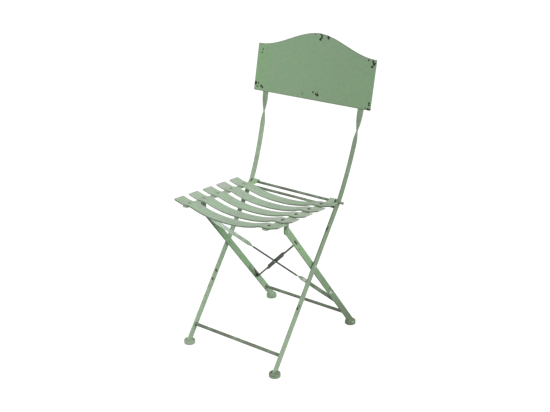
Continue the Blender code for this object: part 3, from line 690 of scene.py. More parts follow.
# Each paint's colour, how much it is patched, flaked and rubbed, and the shift of its noise
PAINTS = {
    "old_back_paint": ("back", 0.35, 0.0, 0.7, 0),
    "old_upright_paint": ("frame", 0.6, 0.5, 0.6, 11),
    "old_leg_paint": ("legs", 0.6, 0.5, 0.6, 23),
    "old_seat_paint": ("seat", 0.8, 0.1, 0.8, 31),
    "old_foot_paint": ("frame", 0.7, 0.3, 0.9, 41),
    "old_brace_paint_and_painted_light": ("brace", 0.6, 0.6, 0.5, 53),
    "old_rivet_paint": ("seat", 0.8, 0.5, 1.0, 17),
}
# How much green paint is left on the rods
ROD_PAINT_LEFT = 0.62


def finish(name):
    """A finish of the chair, made once."""
    if name in bpy.data.materials:
        return bpy.data.materials[name]
    colours = bpy.context.scene.garden_chair.paint
    if name == "worn_rod_metal":
        return worn_metal(name, colours, ROD_PAINT_LEFT)
    base, *amounts = PAINTS[name]
    return paint(name, getattr(colours, base), colours, *amounts)


# Pieces

# Chips: across and down in the photograph's pixels, and radius in metres
BACK_CHIPS = (
    (320.6, 33.7, 0.0021),
    (322.2, 35.6, 0.0018),
    (322.0, 37.6, 0.0020),
    (320.5, 39.4, 0.0024),
    (328.0, 34.8, 0.0020),
    (329.0, 36.4, 0.0024),
    (328.5, 38.2, 0.0022),
    (315.3, 34.4, 0.0010),
    (368.9, 60.4, 0.0015),
    (373.2, 61.3, 0.0018),
    (374.0, 64.6, 0.0024),
    (372.2, 66.8, 0.0024),
    (375.6, 63.6, 0.0012),
    (373.5, 62.8, 0.0018),
    (369.0, 103.4, 0.0018),
    (368.8, 105.4, 0.0016),
    (365.2, 108.2, 0.0012),
    (367.7, 109.2, 0.0019),
    (369.7, 110.2, 0.0020),
    (317.4, 95.0, 0.0026),
    (315.6, 94.0, 0.0018),
    (312.9, 92.1, 0.0017),
    (317.3, 92.1, 0.0010),
    (302.4, 93.2, 0.0012),
    (255.7, 82.6, 0.0032),
    (258.6, 82.8, 0.0015),
    (257.3, 86.0, 0.0015),
    (261.0, 85.6, 0.0020),
    (262.3, 87.2, 0.0020),
    (263.1, 49.3, 0.0014),
    (262.3, 52.3, 0.0015),
)
# How many times larger than these radii the back panel's chips are drawn
BACK_CHIP_SPREAD = 1.35
BAR_CHIPS = {
    "left_upright": (
        (216.1, 269.9, 0.0030),
        (216.9, 271.5, 0.0020),
        (212.6, 278.6, 0.0030),
        (213.8, 279.8, 0.0015),
        (208.7, 286.2, 0.0012),
        (205.4, 295.4, 0.0012),
    ),
    "right_upright": (
        (327.3, 228.8, 0.0026),
        (328.3, 226.9, 0.0020),
        (326.4, 231.2, 0.0018),
        (322.0, 240.3, 0.0014),
        (297.6, 308.7, 0.0030),
        (299.3, 306.1, 0.0024),
        (298.6, 303.6, 0.0014),
    ),
    "right_rear_leg": (
        (294.8, 241.5, 0.0024),
        (296.8, 243.7, 0.0024),
        (287.2, 232.4, 0.0016),
        (329.6, 288.1, 0.0020),
        (332.4, 291.3, 0.0024),
        (299.3, 249.5, 0.0015),
    ),
}
# The pale scuff by the right rear leg's lower rivet also paints that rivet's highlight
BAR_SCUFFS_AND_HIGHLIGHTS = {"right_rear_leg": ((330.4, 292.2, 0.0040),)}


def side_places(angle, origin, forwards, sideways):
    """Places in a side frame: its x runs along an angle, its y across it."""
    forwards, sideways = np.asarray(forwards), np.asarray(sideways)
    return origin + forwards[..., None] * along(angle) + sideways[..., None] * along(angle + np.pi / 2)


def level_end(rings, height, run):
    """Slide a bar's first ring along the run until it lies level at a height."""
    slide = (height - rings[0][:, 2]) / run[2]
    rings[0] = rings[0] + slide[:, None] * run


# Distance between the points that an upright's centre line is summed up from
LINE_STEP = 0.0005


def upright_line(sizes):
    """An upright's centre line: distances from the pivot, and places with x as the spread.

    The bar is straight to the knee, turns by the knee angle over an arc, turns on slowly to the
    back's lean, and is straight again. The place is the sum of small steps along its angle.
    """
    knee_end = sizes.knee_distance + sizes.knee_angle * sizes.knee_radius
    sweep_end = knee_end + sizes.sweep_length
    bend_from = (0, sizes.knee_distance, knee_end, sweep_end, sweep_end + 1)
    back_angle = np.pi / 2 - sizes.back_lean
    knee_to = upright_angle + sizes.knee_angle
    angles = (upright_angle, upright_angle, knee_to, back_angle, back_angle)
    distance = np.arange(0, 1.0, LINE_STEP)
    angle = np.interp(distance, bend_from, angles)
    steps = along((angle[1:] + angle[:-1]) / 2) * LINE_STEP
    places = pivot + np.vstack([np.zeros(3), np.cumsum(steps, axis=0)])
    places[:, 0] = np.maximum(distance - sizes.knee_distance, 0) * np.tan(sizes.splay)
    return distance, places, angle


def upright(side, settings):
    """One upright: a flat bar from its foot to behind the panel, with a quarter turn below it."""
    sizes = settings.bars
    distance, places, angle = upright_line(sizes)
    stands_on = foot_top("right_front_foot")
    spare_end = 0.012
    below = -np.linalg.norm(pivot[1:] - stands_on[1:]) - spare_end
    shoulder = settings.panel.bottom + settings.panel.side_height * np.cos(sizes.back_lean)
    top = np.interp(shoulder - sizes.top_drop, places[:, 2], distance)
    s = stations(top - below, sizes.step) + below
    clear_of_cut = below + sizes.upright_width * 1.5
    s = s[(s <= below) | (s > clear_of_cut)]
    line = np.stack([np.interp(s, distance, places[:, k]) for k in range(3)], -1)
    low = s < 0
    line[low] = pivot * (0, 1, 1) + s[low, None] * along(upright_angle)
    line[:, 0] = (line[:, 0] + middle("right_front_foot")[0]) * side
    lean = np.where(low, upright_angle, np.interp(s, distance, angle))
    across = along(lean + np.pi / 2)
    turned_by = smooth_step((s - sizes.knee_distance - sizes.twist_start) / sizes.twist_length)
    turned_by = (turned_by * np.pi / 2)[:, None]
    wide = across * np.cos(turned_by) + ACROSS * np.sin(turned_by)
    half_width, half_thickness = sizes.upright_width / 2, sizes.upright_thickness / 2
    section = outline(half_width, half_thickness, sizes.corner, sizes.border, spans=6)
    trim = drawn_in(top - s, sizes.corner)
    points, faces, edge = swept(
        line, wide, half_width - trim, half_thickness - trim, section, sizes.corner
    )
    rings = points.reshape(len(s), -1, 3)
    level_end(rings, stands_on[2] + seam, along(upright_angle))
    return rings.reshape(-1, 3), faces, edge


def left_upright_age(points):
    """Painted shade: the left upright is dark in the seat's shadow and in the panel's shade below it.
    """
    dark = 1.3 * (1 - smooth_step((np.abs(points[:, 2] - 0.375) - 0.025) / 0.02))
    return np.maximum(dark, heights(points, (0.42, 0.1), (0.45, 0.35), (0.56, 0.42), (0.64, 0.7)))


def left_upright_fresh(points):
    """The left upright has kept its green just above the rods."""
    return 0.9 * (1 - smooth_step((np.abs(points[:, 2] - 0.42) - 0.008) / 0.01))


def right_upright_age(points):
    """The right upright has darkened above the leg pivot."""
    lower = ((0.05, 0.37), (0.13, 0.42), (0.21, 0.64), (0.32, 0.83), (0.40, 0.85), (0.44, 1.05))
    return heights(points, *lower, (0.52, 0.86), (0.58, 1.05), (0.64, 0.78), (0.70, 0.69))


UPRIGHT_SHADES = {
    "left": {"age": left_upright_age, "fresh": left_upright_fresh},
    "right": {"age": right_upright_age},
}


class GARDEN_CHAIR_OT_uprights(bpy.types.Operator):
    """Make the two bent and twisted uprights"""

    bl_idname = "garden_chair.uprights"
    bl_label = "Uprights"

    def execute(self, context):
        settings = context.scene.garden_chair
        for name, side in SIDES:
            node = f"{name}_upright"
            surface = upright(side, settings)
            paint_of = finish("old_upright_paint")
            face = middle("right_front_foot")[0] * side + settings.bars.upright_thickness / 2
            chips = under_pixels(BAR_CHIPS[node], face * ACROSS, ACROSS, settings.stage)
            piece(node, "bar", [surface], paint_of, chips, **UPRIGHT_SHADES[name])
        return {"FINISHED"}


# How dark, and how filmed with grey, the panel's edges are
PANEL_EDGE_AGE, PANEL_EDGE_DUST = 0.75, 0.9


def panel_age(points):
    """Painted shade: the panel darkens from left to right, as the light falls off across it."""
    return 0.3 * smooth_step(points[:, 0] / 0.4 + 0.45)


def panel_fresh(points):
    """The panel has kept its green towards its left end."""
    return 0.5 * smooth_step(-(points[:, 0] + 0.13) / 0.08)


class GARDEN_CHAIR_OT_back(bpy.types.Operator):
    """Make the arched sheet back, carried from side to side"""

    bl_idname = "garden_chair.back"
    bl_label = "Back Panel"

    def execute(self, context):
        settings = context.scene.garden_chair
        sizes, lean = settings.panel, settings.bars.back_lean
        width = extent("back_panel")[0]
        ends = ((0, sizes.corner), (width, sizes.corner))
        s = stations(width, sizes.step, ends)
        x = s - width / 2 + middle("back_panel")[0]
        reach = np.abs(x)
        bell = 0.5 + 0.5 * np.cos(np.pi * np.clip(reach / sizes.crown_half_width, 0, 1))
        straight = 1 - reach / (width / 2)
        arch = bell * (1 - sizes.slope_share) + straight * sizes.slope_share
        height = sizes.side_height + sizes.crown_rise * arch
        face_up = along(np.pi / 2 - lean)
        face_out = np.cross(ACROSS, face_up)
        half_thickness = sizes.thickness / 2
        low_edge = np.array(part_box("back_panel")[0]) * (0, 1, 1)
        low_edge = low_edge + np.abs(along(lean)) * half_thickness
        end = np.minimum(s, width - s)
        inset = drawn_in(end, sizes.corner)
        centres = low_edge + x[:, None] * ACROSS + (height / 2)[:, None] * face_up
        soft, border = 0.0005, 0.0034
        spans = int(sizes.side_height / sizes.step)
        section = outline(sizes.side_height / 2, half_thickness, soft, border, spans=spans)
        trim = drawn_in(end, soft)
        surface = swept(
            centres, face_up, height / 2 - inset, half_thickness - trim, section, soft, face_out
        )
        front = low_edge + face_out * half_thickness
        back = low_edge - face_out * half_thickness
        chips = under_pixels(BACK_CHIPS, front, face_out, settings.stage)
        chips[:, 3] *= BACK_CHIP_SPREAD
        beads = []
        for _, side in SIDES:
            beads += self.welds(side, settings, back, face_up)
        surfaces = [surface, *beads]
        edges = np.concatenate([surface_edge for _, _, surface_edge in surfaces])
        piece(
            "back_panel",
            "sheet",
            surfaces,
            finish("old_back_paint"),
            chips,
            age=lambda points: panel_age(points) + PANEL_EDGE_AGE * edges,
            fresh=panel_fresh,
            dust=PANEL_EDGE_DUST * edges,
        )
        return {"FINISHED"}

    def welds(self, side, settings, back, face_up):
        """Short welds along both edges of an upright, where it lies against the panel's back."""
        _, places, _ = upright_line(settings.bars)
        foot_x = middle("right_front_foot")[0]
        levels, weld_length, weld_radius = (0.018, 0.060, 0.100), 0.014, 0.0013
        beads = []
        for level in levels:
            for edge in (-1, 1):
                ends = []
                for up in (level, level + weld_length):
                    place = back + up * face_up
                    spread = np.interp(place[2], places[:, 2], places[:, 0]) + foot_x
                    reach = spread * side + edge * settings.bars.upright_width / 2
                    ends.append(place + reach * ACROSS)
                beads.append(bead(ends[0], ends[1], weld_radius))
        return beads


def weld_flare(distance, size):
    """A weld's extra radius at a distance from the face it meets: a hollow quarter circle."""
    inside = 1 - np.clip(np.abs(distance) / size, 0, 1)
    return size * (1 - np.sqrt(1 - inside**2))


def rod(node, bar_x):
    """A round rod with rounded ends, flared where it is welded to the bars, at bar_x each side."""
    low, high = (np.array(corner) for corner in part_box(node))
    radius, total, soft = (high[2] - low[2]) / 2, high[0] - low[0], 0.0008
    weld_size, step, touching = 0.0028, 0.004, 0.00001
    welded = bar_x - np.linspace(0, weld_size, 8)
    x = stations(total, step, ((0, soft), (total, soft)))
    x = np.unique(np.round(np.concatenate([x, -welded - low[0], welded - low[0]]), 6))
    x = x[(x >= 0) & (x <= total)]
    end = drawn_in(np.minimum(x, total - x), soft)
    edge = np.where(end > 0, 0.9, 0.1)
    gap = bar_x - np.abs(x + low[0])
    flare = np.where(gap > -touching, weld_flare(gap, weld_size), 0)
    profile = [(0, 0, 0.2), *np.stack([radius - end, x, edge], -1), (0, total, 0.2)]
    flare = np.concatenate([[0], flare, [0]])
    at = np.array((low[0], (low[1] + high[1]) / 2, (low[2] + high[2]) / 2))
    return lathe(profile, at, ACROSS, around=32, flare=flare)


# How dark each rod is, as (x, age) from its left end to its right
ROD_AGES = {
    "hook_rod": ((-0.15, 0.36), (0.15, 0.20)),
    "lower_rod": ((-0.15, 0.0), (0.15, 0.0)),
    "front_stretcher": ((-0.15, 0.34), (0.10, 0.0), (0.15, 0.2)),
    "rear_stretcher": ((-0.15, 0.26), (0.05, 0.36), (0.15, 0.6)),
}


class GARDEN_CHAIR_OT_rods(bpy.types.Operator):
    """Make the hook rod, the lower rod and the two stretchers, with their welds"""

    bl_idname = "garden_chair.rods"
    bl_label = "Cross Rods"

    def execute(self, context):
        for node, levels in ROD_AGES.items():
            end_node = "lower_rod" if node == "hook_rod" else node
            surface = rod(node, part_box(end_node)[1][0])
            age = np.interp(surface[0][:, 0], *zip(*levels))
            piece(node, "bar", [surface], finish("worn_rod_metal"), age=age)
        return {"FINISHED"}


def straight_bar(start, end, x, wide, half_width, half_thickness, sizes, end_radius):
    """A straight flat bar whose first end is cut level and whose last end is rounded."""
    total = np.linalg.norm(end - start)
    s = stations(total, sizes.step, ((total, end_radius),))
    s = s[(s == 0) | (s > half_width * 2)]
    run = unit(end - start)
    line = start + s[:, None] * run
    line[:, 0] = x
    section = outline(half_width, half_thickness, sizes.corner, sizes.border, spans=6)
    trim = drawn_in(total - s, sizes.corner)
    points, faces, edge = swept(
        line,
        wide,
        half_width - drawn_in(total - s, end_radius),
        half_thickness - trim,
        section,
        sizes.corner,
    )
    rings = points.reshape(len(s), -1, 3)
    level_end(rings, start[2], run)
    return rings.reshape(-1, 3), faces, edge


def left_leg_age(points):
    """The left rear leg's narrow front side is dark above the leg pivot."""
    ahead = (points - pivot)[:, 1:] @ along(leg_angle + np.pi / 2)[1:]
    return 1.3 * smooth_step((ahead - 0.0066) / 0.0015) * heights(points, (0.28, 0.1), (0.33, 1))


def left_leg_bare(points):
    """The paint is gone from part of the left rear leg's narrow front side."""
    return 0.38 * left_leg_age(points)


def leg_fresh(points):
    """Both rear legs have kept their green above the leg pivot, in places."""
    return heights(points, (0.12, 0), (0.18, 0.9), (0.23, 0.2), (0.27, 0.2), (0.33, 0.9), (0.38, 0.3))


def right_leg_age(points):
    """Painted shade: the right rear leg darkens towards its foot, where less light reaches it."""
    return heights(points, (0.03, 1.4), (0.11, 0.98), (0.22, 0.74), (0.33, 0.25), (0.41, 0.42))


LEG_SHADES = {
    "left": {"age": left_leg_age, "fresh": leg_fresh, "bare": left_leg_bare},
    "right": {"age": right_leg_age, "fresh": leg_fresh},
}


class GARDEN_CHAIR_OT_rear_legs(bpy.types.Operator):
    """Make the two straight rear legs"""

    bl_idname = "garden_chair.rear_legs"
    bl_label = "Rear Legs"

    def execute(self, context):
        settings = context.scene.garden_chair
        sizes = settings.bars
        start = foot_top("right_rear_foot") * (0, 1, 1) + (0, 0, seam)
        top = seat_pivot + sizes.leg_top_reach * along(leg_angle)
        for name, shades in LEG_SHADES.items():
            node = f"{name}_rear_leg"
            x, thickness = middle(node)[0], extent(node)[0]
            wide = along(leg_angle + np.pi / 2)
            surface = straight_bar(
                start, top, x, wide, sizes.leg_width / 2, thickness / 2, sizes, sizes.leg_top_corner
            )
            face = (x + thickness / 2) * ACROSS
            chips = under_pixels(BAR_CHIPS.get(node, ()), face, ACROSS, settings.stage)
            scuffs_and_highlights = under_pixels(BAR_SCUFFS_AND_HIGHLIGHTS.get(node, ()), face, ACROSS, settings.stage)
            piece(node, "bar", [surface], finish("old_leg_paint"), chips, scuffs_and_highlights, **shades)
        return {"FINISHED"}


def foot(node, angle, half_width, half_thickness):
    """A round foot with a dished top, and the weld round the leaning bar that stands on it.

    The foot is a turned profile. The weld is a stack of level rounded rectangles that shrink
    from the foot's top up to the bar as a hollow quarter circle does.
    """
    low, high = (np.array(corner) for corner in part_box(node))
    radius, height = (high[0] - low[0]) / 2, high[2] - low[2]
    at = np.array(((low[0] + high[0]) / 2, (low[1] + high[1]) / 2, low[2]))
    soft, hard, dish = 0.003, 0.0015, 0.0012
    weld_height, weld_spread, least_spread, weld_corner = 0.0036, 0.0026, 0.0001, 0.0014
    quarter = np.linspace(0, np.pi / 2, 6)
    profile = [(0, 0, 0), (radius * 0.5, 0, 0)]
    profile += [(radius - hard + hard * np.sin(a), hard - hard * np.cos(a), 0.8) for a in quarter]
    profile += [(radius, z, 0.3) for z in np.linspace(hard, height - soft, 4)[1:-1]]
    rim_radius, rim_height = radius - soft, height - soft
    profile += [(rim_radius + soft * np.cos(a), rim_height + soft * np.sin(a), 1) for a in quarter]
    for share_in in np.linspace(0, 1, 6)[1:]:
        r = (radius - soft) * (1 - 0.5 * share_in)
        profile.append((r, height - dish * np.sin(np.pi * share_in) ** 2, 0.6 - 0.5 * share_in))
    profile.append((0, height, 0))
    surface = lathe(profile, at, (0, 0, 1), around=56)
    z = np.linspace(0, 1, 9)
    flare = weld_spread * (1 - np.sqrt(1 - (1 - z) ** 2)) + least_spread
    z = z * weld_height
    centres = at + (0, 0, height) + np.stack([np.zeros(len(z)), z / np.tan(angle), z], -1)
    reach_w, reach_t = half_width / np.sin(angle) + flare, half_thickness + flare
    section = outline(0.01, 0.004, weld_corner, 0.001)
    backwards = np.array((0.0, 1.0, 0.0))
    weld = swept(centres, backwards, reach_w, reach_t, section, weld_corner, -ACROSS)
    return [surface, weld]


def left_foot_age(points):
    """The left front foot is a little darker on top than round its side."""
    return heights(points, (0.0088, 0.0), (0.0112, 0.5))


def right_foot_age(points):
    """The right front foot is much darker on top than round its side, partly as painted shade."""
    return heights(points, (0.0065, 0.6), (0.0100, 1.4))


# The right feet's darkness beyond the left feet's is partly painted shade
FRONT_FOOT_AGES_AND_SHADE = {"left": left_foot_age, "right": right_foot_age}
REAR_FOOT_AGES_AND_SHADE = {"left": 0.35, "right": 1.2}


class GARDEN_CHAIR_OT_feet(bpy.types.Operator):
    """Make the four round feet"""

    bl_idname = "garden_chair.feet"
    bl_label = "Feet"

    def execute(self, context):
        sizes = context.scene.garden_chair.bars
        half_thickness = sizes.upright_thickness / 2
        rows = (
            ("front_foot", upright_angle, sizes.upright_width / 2, FRONT_FOOT_AGES_AND_SHADE),
            ("rear_foot", leg_angle, sizes.leg_width / 2, REAR_FOOT_AGES_AND_SHADE),
        )
        for name, _ in SIDES:
            for kind, angle, half_width, ages in rows:
                node = f"{name}_{kind}"
                surfaces = foot(node, angle, half_width, half_thickness)
                piece(node, "disc", surfaces, finish("old_foot_paint"), age=ages[name])
        return {"FINISHED"}


# Distance between sections along the strips and the rails
FINE_STEP = 0.0015


def arc(before, corner, after, radius, steps=12):
    """A bend in place of a flat path's corner.

    Its centre lies inward of the corner by r / sin(half the corner's angle). With first and
    last running from the centre to the bend's ends, and a the angle between them, its points
    are centre + (first sin((1 - t) a) + last sin(t a)) / sin a.
    """
    inward, outward = unit(before - corner), unit(after - corner)
    half = np.arccos(np.clip(inward @ outward, -1, 1)) / 2
    centre = corner + unit(inward + outward) * radius / np.sin(half)
    first = corner + inward * radius / np.tan(half) - centre
    last = corner + outward * radius / np.tan(half) - centre
    sweep = np.pi - 2 * half
    t = np.linspace(0, 1, steps + 1)[:, None]
    return centre + (first * np.sin((1 - t) * sweep) + last * np.sin(t * sweep)) / np.sin(sweep)


def resampled(path, step):
    """A path's points at even distances along it, and those distances."""
    run = np.concatenate([[0], np.cumsum(np.linalg.norm(np.diff(path, axis=0), axis=1))])
    s = np.linspace(0, run[-1], max(int(round(run[-1] / step)), 2) + 1)
    return np.stack([np.interp(s, run, path[:, k]) for k in range(path.shape[1])], -1), s


def brace(side, lift, sizes):
    """One twisted strip, from one leg's top to the other leg's foot.

    In the plane of the rear legs it lies flat in the middle, turns a quarter turn towards each
    end, and bends into a tab along each leg. Its middle is lifted off the other strip.
    """
    up = along(leg_angle)
    outward = np.array((side, 0.0, 0.0))
    normal = np.cross(ACROSS, up)
    reach = middle("right_rear_leg")[0] - extent("right_rear_leg")[0] / 2 - seam - sizes.thickness / 2
    flat_path = np.array(
        (
            (-reach, sizes.upper_distance + sizes.upper_tab),
            (-reach, sizes.upper_distance),
            (reach, -sizes.lower_distance),
            (reach, -sizes.lower_distance + sizes.lower_tab),
        )
    )
    path = np.vstack(
        [
            flat_path[:1],
            arc(*flat_path[:3], sizes.upper_radius),
            arc(*flat_path[1:], sizes.lower_radius),
            flat_path[3:],
        ]
    )
    path, s = resampled(path, FINE_STEP)
    centre_of = (flat_path[1] + flat_path[2]) / 2
    from_middle = np.linalg.norm(path - centre_of, axis=1)
    twisted = smooth_step((from_middle - sizes.flat_half) / sizes.twist_length)
    places = pivot + path[:, :1] * outward + path[:, 1:] * up
    ahead = unit(np.gradient(places, axis=0))
    angle = (twisted * np.pi / 2)[:, None]
    wide = np.cross(normal, ahead) * np.cos(angle) + normal * np.sin(angle)
    places += normal * lift * (1 - twisted)[:, None]
    half_width, half_thickness = sizes.width / 2, sizes.thickness / 2
    soft, border, end_corner = 0.0006, 0.0012, 0.003
    end = np.minimum(s, s[-1] - s)
    section = outline(half_width, half_thickness, soft, border, spans=6)
    trim_w, trim_t = drawn_in(end, end_corner), drawn_in(end, soft)
    return swept(places, wide, half_width - trim_w, half_thickness - trim_t, section, soft)


def pale_strip_age(points):
    """Painted light and shade: the pale strip is lit pale at its left end and darkens to the right."""
    return np.interp(points[:, 0], (-0.09, -0.07, 0.04, 0.07, 0.12), (0.0, 0.5, 0.7, 1.05, 1.15))


def pale_strip_bare(points):
    """The pale strip is bare in its middle."""
    return 1 - smooth_step((np.abs(points[:, 0]) - 0.050) / 0.012)


def green_strip_age(points):
    """The green strip is darker between its tabs."""
    return 0.4 + 0.6 * smooth_step((0.142 - np.abs(points[:, 0])) / 0.01)


def green_strip_bare(points):
    """The green strip is bare between its tabs, and dark steel is drawn in a wedge of the tab on the
    left leg.
    """
    between = smooth_step((0.1475 - np.abs(points[:, 0])) / 0.006)
    ahead = (points - pivot)[:, 1:] @ along(leg_angle + np.pi / 2)[1:]
    wedge = smooth_step(((0.143 - points[:, 2]) * 0.38 - 0.0055 - ahead) / 0.002)
    return np.maximum(between, (points[:, 0] < -0.1) * wedge)


# A scuff on the pale strip: its place and radius
PALE_STRIP_SCUFF = (0.070, 0.0543, 0.1725, 0.0045)


class GARDEN_CHAIR_OT_braces(bpy.types.Operator):
    """Make the two crossed strips between the rear legs"""

    bl_idname = "garden_chair.braces"
    bl_label = "Crossed Braces"

    def execute(self, context):
        sizes = context.scene.garden_chair.braces
        lift = sizes.thickness / 2 + seam / 2
        surface = brace(1, lift, sizes)
        piece(
            "left_top_brace",
            "strip",
            [surface],
            finish("old_brace_paint_and_painted_light"),
            scuffs_and_highlights=[PALE_STRIP_SCUFF],
            age=pale_strip_age,
            bare=pale_strip_bare,
        )
        surface = brace(-1, -lift, sizes)
        piece(
            "right_top_brace",
            "strip",
            [surface],
            finish("old_leg_paint"),
            age=green_strip_age,
            bare=green_strip_bare,
        )
        return {"FINISHED"}


def rail_line(settings):
    """A rail's centre line in the side view, from its front end over the hook rod.

    It is straight, bends up to the ramp's angle, runs up the ramp, and goes round the rod at
    its own half thickness and the hook's clearance from it.
    """
    sizes = settings.seat
    radius = extent("hook_rod")[2] / 2 + sizes.hook_clearance + sizes.rail_thickness / 2
    first = middle("slat_1")[1:] - hook_rod[1:]
    front = first @ along(seat_angle)[1:] - sizes.slat_depth / 2 - sizes.rail_overhang
    ramp_foot = -radius / np.sin(sizes.hook_ramp)
    bend = sizes.hook_bend
    back = bend * np.tan(sizes.hook_ramp / 2)
    t = np.linspace(0, sizes.hook_ramp, 9)
    rise = np.stack([ramp_foot - back + bend * np.sin(t), bend * (1 - np.cos(t))], -1)
    t = np.linspace(np.pi / 2 + sizes.hook_ramp, 0, 25)
    over = radius * np.stack([np.cos(t), np.sin(t)], -1)
    return np.vstack([((front, 0),), rise, over, ((radius, -sizes.hook_tail),)])


# How green the left rail is behind a place in y, and how dark both lugs are
LEFT_RAIL_FRESH, FRESH_BEHIND = 0.8, 0.01
LUG_AGE = 0.35


class GARDEN_CHAIR_OT_rails(bpy.types.Operator):
    """Make the two seat rails with their hooks, and the lugs below them"""

    bl_idname = "garden_chair.rails"
    bl_label = "Rails and Lugs"

    def execute(self, context):
        settings = context.scene.garden_chair
        sizes, soft = settings.seat, settings.bars.corner
        flat_path, s = resampled(rail_line(settings), FINE_STEP)
        places = side_places(seat_angle, hook_rod, flat_path[:, 0], flat_path[:, 1])
        half_thickness = sizes.rail_thickness / 2
        for name, side in SIDES:
            node = f"{name}_seat_rail"
            half_width = extent(node)[0] / 2
            line = places + middle(node)[0] * ACROSS
            section = outline(half_width, half_thickness, soft, settings.bars.border, spans=7)
            trim_w = drawn_in(s, sizes.rail_corner) + drawn_in(s[-1] - s, soft)
            trim_t = drawn_in(np.minimum(s, s[-1] - s), soft)
            surface = swept(line, ACROSS, half_width - trim_w, half_thickness - trim_t, section, soft)
            paint_of = finish("old_seat_paint")
            behind = (line[:, 1] > FRESH_BEHIND).repeat(len(section))
            fresh = 0.0 if side > 0 else LEFT_RAIL_FRESH * behind
            piece(node, "bar", [surface], paint_of, fresh=fresh)
            piece(f"{name}_lug", "plate", self.lug(f"{name}_lug", sizes), paint_of, age=LUG_AGE)
        return {"FINISHED"}

    def lug(self, node, sizes):
        """A plate with a half-round lower end, and a weld along each face of its upper end."""
        radius, half_thickness = sizes.lug_radius, extent(node)[0] / 2
        top = sizes.lug_drop - sizes.rail_thickness / 2 - seam
        total, soft, border, step = radius + top, 0.0006, 0.0014, 0.002
        just_above_tip = 0.00005
        weld_reach, weld_radius, weld_sink = 0.008, 0.0011, 0.0009
        s = stations(total, step, ((0, radius), (0, soft)))
        s[0] = just_above_tip
        line = side_places(seat_angle, seat_pivot, np.zeros(len(s)), s - radius)
        line = line + middle(node)[0] * ACROSS
        section = outline(radius, half_thickness, soft, border, spans=6)
        half_width = radius - drawn_in(s, radius)
        trim = drawn_in(s, soft)
        plate = swept(line, along(seat_angle), half_width, half_thickness - trim, section, soft)
        beads = []
        for face in (-1, 1):
            forwards, upwards = (-weld_reach, weld_reach), (top - weld_sink,) * 2
            ends = side_places(seat_angle, seat_pivot, forwards, upwards)
            ends = ends + (middle(node)[0] + face * half_thickness) * ACROSS
            beads.append(bead(ends[0], ends[1], weld_radius))
        return [plate, *beads]


def bead(start, end, radius):
    """A hand-laid weld: a round bar whose radius rises from its ends and ripples along it.

    It has the root of 1 - (1 - d)^2 of its full size where an end is d radii away, up to 1.
    The ripple is 1 + 0.10 sin(2 pi s / 2.3 mm) + 0.06 sin(2 pi s / 6.1 mm), and the full size
    is the radius over 1.16, so that the ripple never passes the radius.
    """
    total = np.linalg.norm(end - start)
    step, short_wave, long_wave, most_ripple = 0.0004, 0.0023, 0.0061, 1.16
    s = np.linspace(0, total, max(int(total / step), 12))
    run = unit(end - start)
    from_end = np.clip(np.minimum(s, total - s) / radius, 0, 1)
    end_shape = np.sqrt(np.clip(1 - (1 - from_end) ** 2, 0, 1))
    ripple = 1 + 0.10 * np.sin(s * 2 * np.pi / short_wave) + 0.06 * np.sin(s * 2 * np.pi / long_wave)
    size = radius / most_ripple * ripple * end_shape
    profile = [(0, 0, 0), *np.stack([size, s, np.full(len(s), 0.4)], -1)[1:-1], (0, total, 0)]
    return lathe(profile, start, run, around=14)


def slat_height(x, settings, half_length, rail_x, head_radius):
    """Height of a slat's middle above its seat on the rails, at a place across the seat.

    Between the rails it is sag * ((x / flat_from)^power - 1), over the rails it is 0, and
    outside them it rises evenly to the tip. Nine samples over the blend are averaged.
    """
    sizes = settings.seat
    flat_from = rail_x - extent("left_seat_rail")[0] / 2 - sizes.slat_blend
    flat_to = rail_x + head_radius + seam + sizes.slat_blend
    samples = x[:, None] + sizes.slat_blend * np.arange(-4, 5) / 4
    reach = np.abs(samples)
    dish = -sizes.slat_sag * (1 - (np.minimum(reach, flat_from) / flat_from) ** sizes.slat_power)
    tip = sizes.slat_tip_rise * np.maximum(reach - flat_to, 0) / (half_length - flat_to)
    return (dish + tip).mean(axis=1)


# How dark each slat is drawn to the right as painted shade, where the painted shade along its front
# edge starts, and its film
SLAT_SHADES = (
    (0.22, -0.25, 0.20),
    (0.22, -0.10, 0.75),
    (0.05, -0.06, 0.45),
    (0.25, -0.05, 0.75),
    (0.50, -0.05, 0.40),
)
# How strong the front edge's painted shade is, and its share on the lower and the upper half of the
# edge
EDGE_SHADE, EDGE_SHADE_SHARES = 1.1, (1.3, 0.8)
# Lengths in x: the front edge's painted shade sets in over one, and the painted shade to the right
# starts at one and sets in over another
EDGE_SHADE_FADE, SHADE_FROM, SHADE_FADE = 0.06, -0.05, 0.25
# The film's middle in x, how far it leaves the slat clear there, and over what it sets in
FILM_MIDDLE, FILM_CLEAR, FILM_FADE = -0.04, 0.07, 0.08
# Chips in front of the slats' rivets, which also paint the shade beside each head: their radii, and
# how far ahead of the rivet they are
RIVET_CHIPS_AND_SHADE = (("left", 0.0018), ("right", 0.0036))
RIVET_CHIP_AND_SHADE_AHEAD = 0.0048


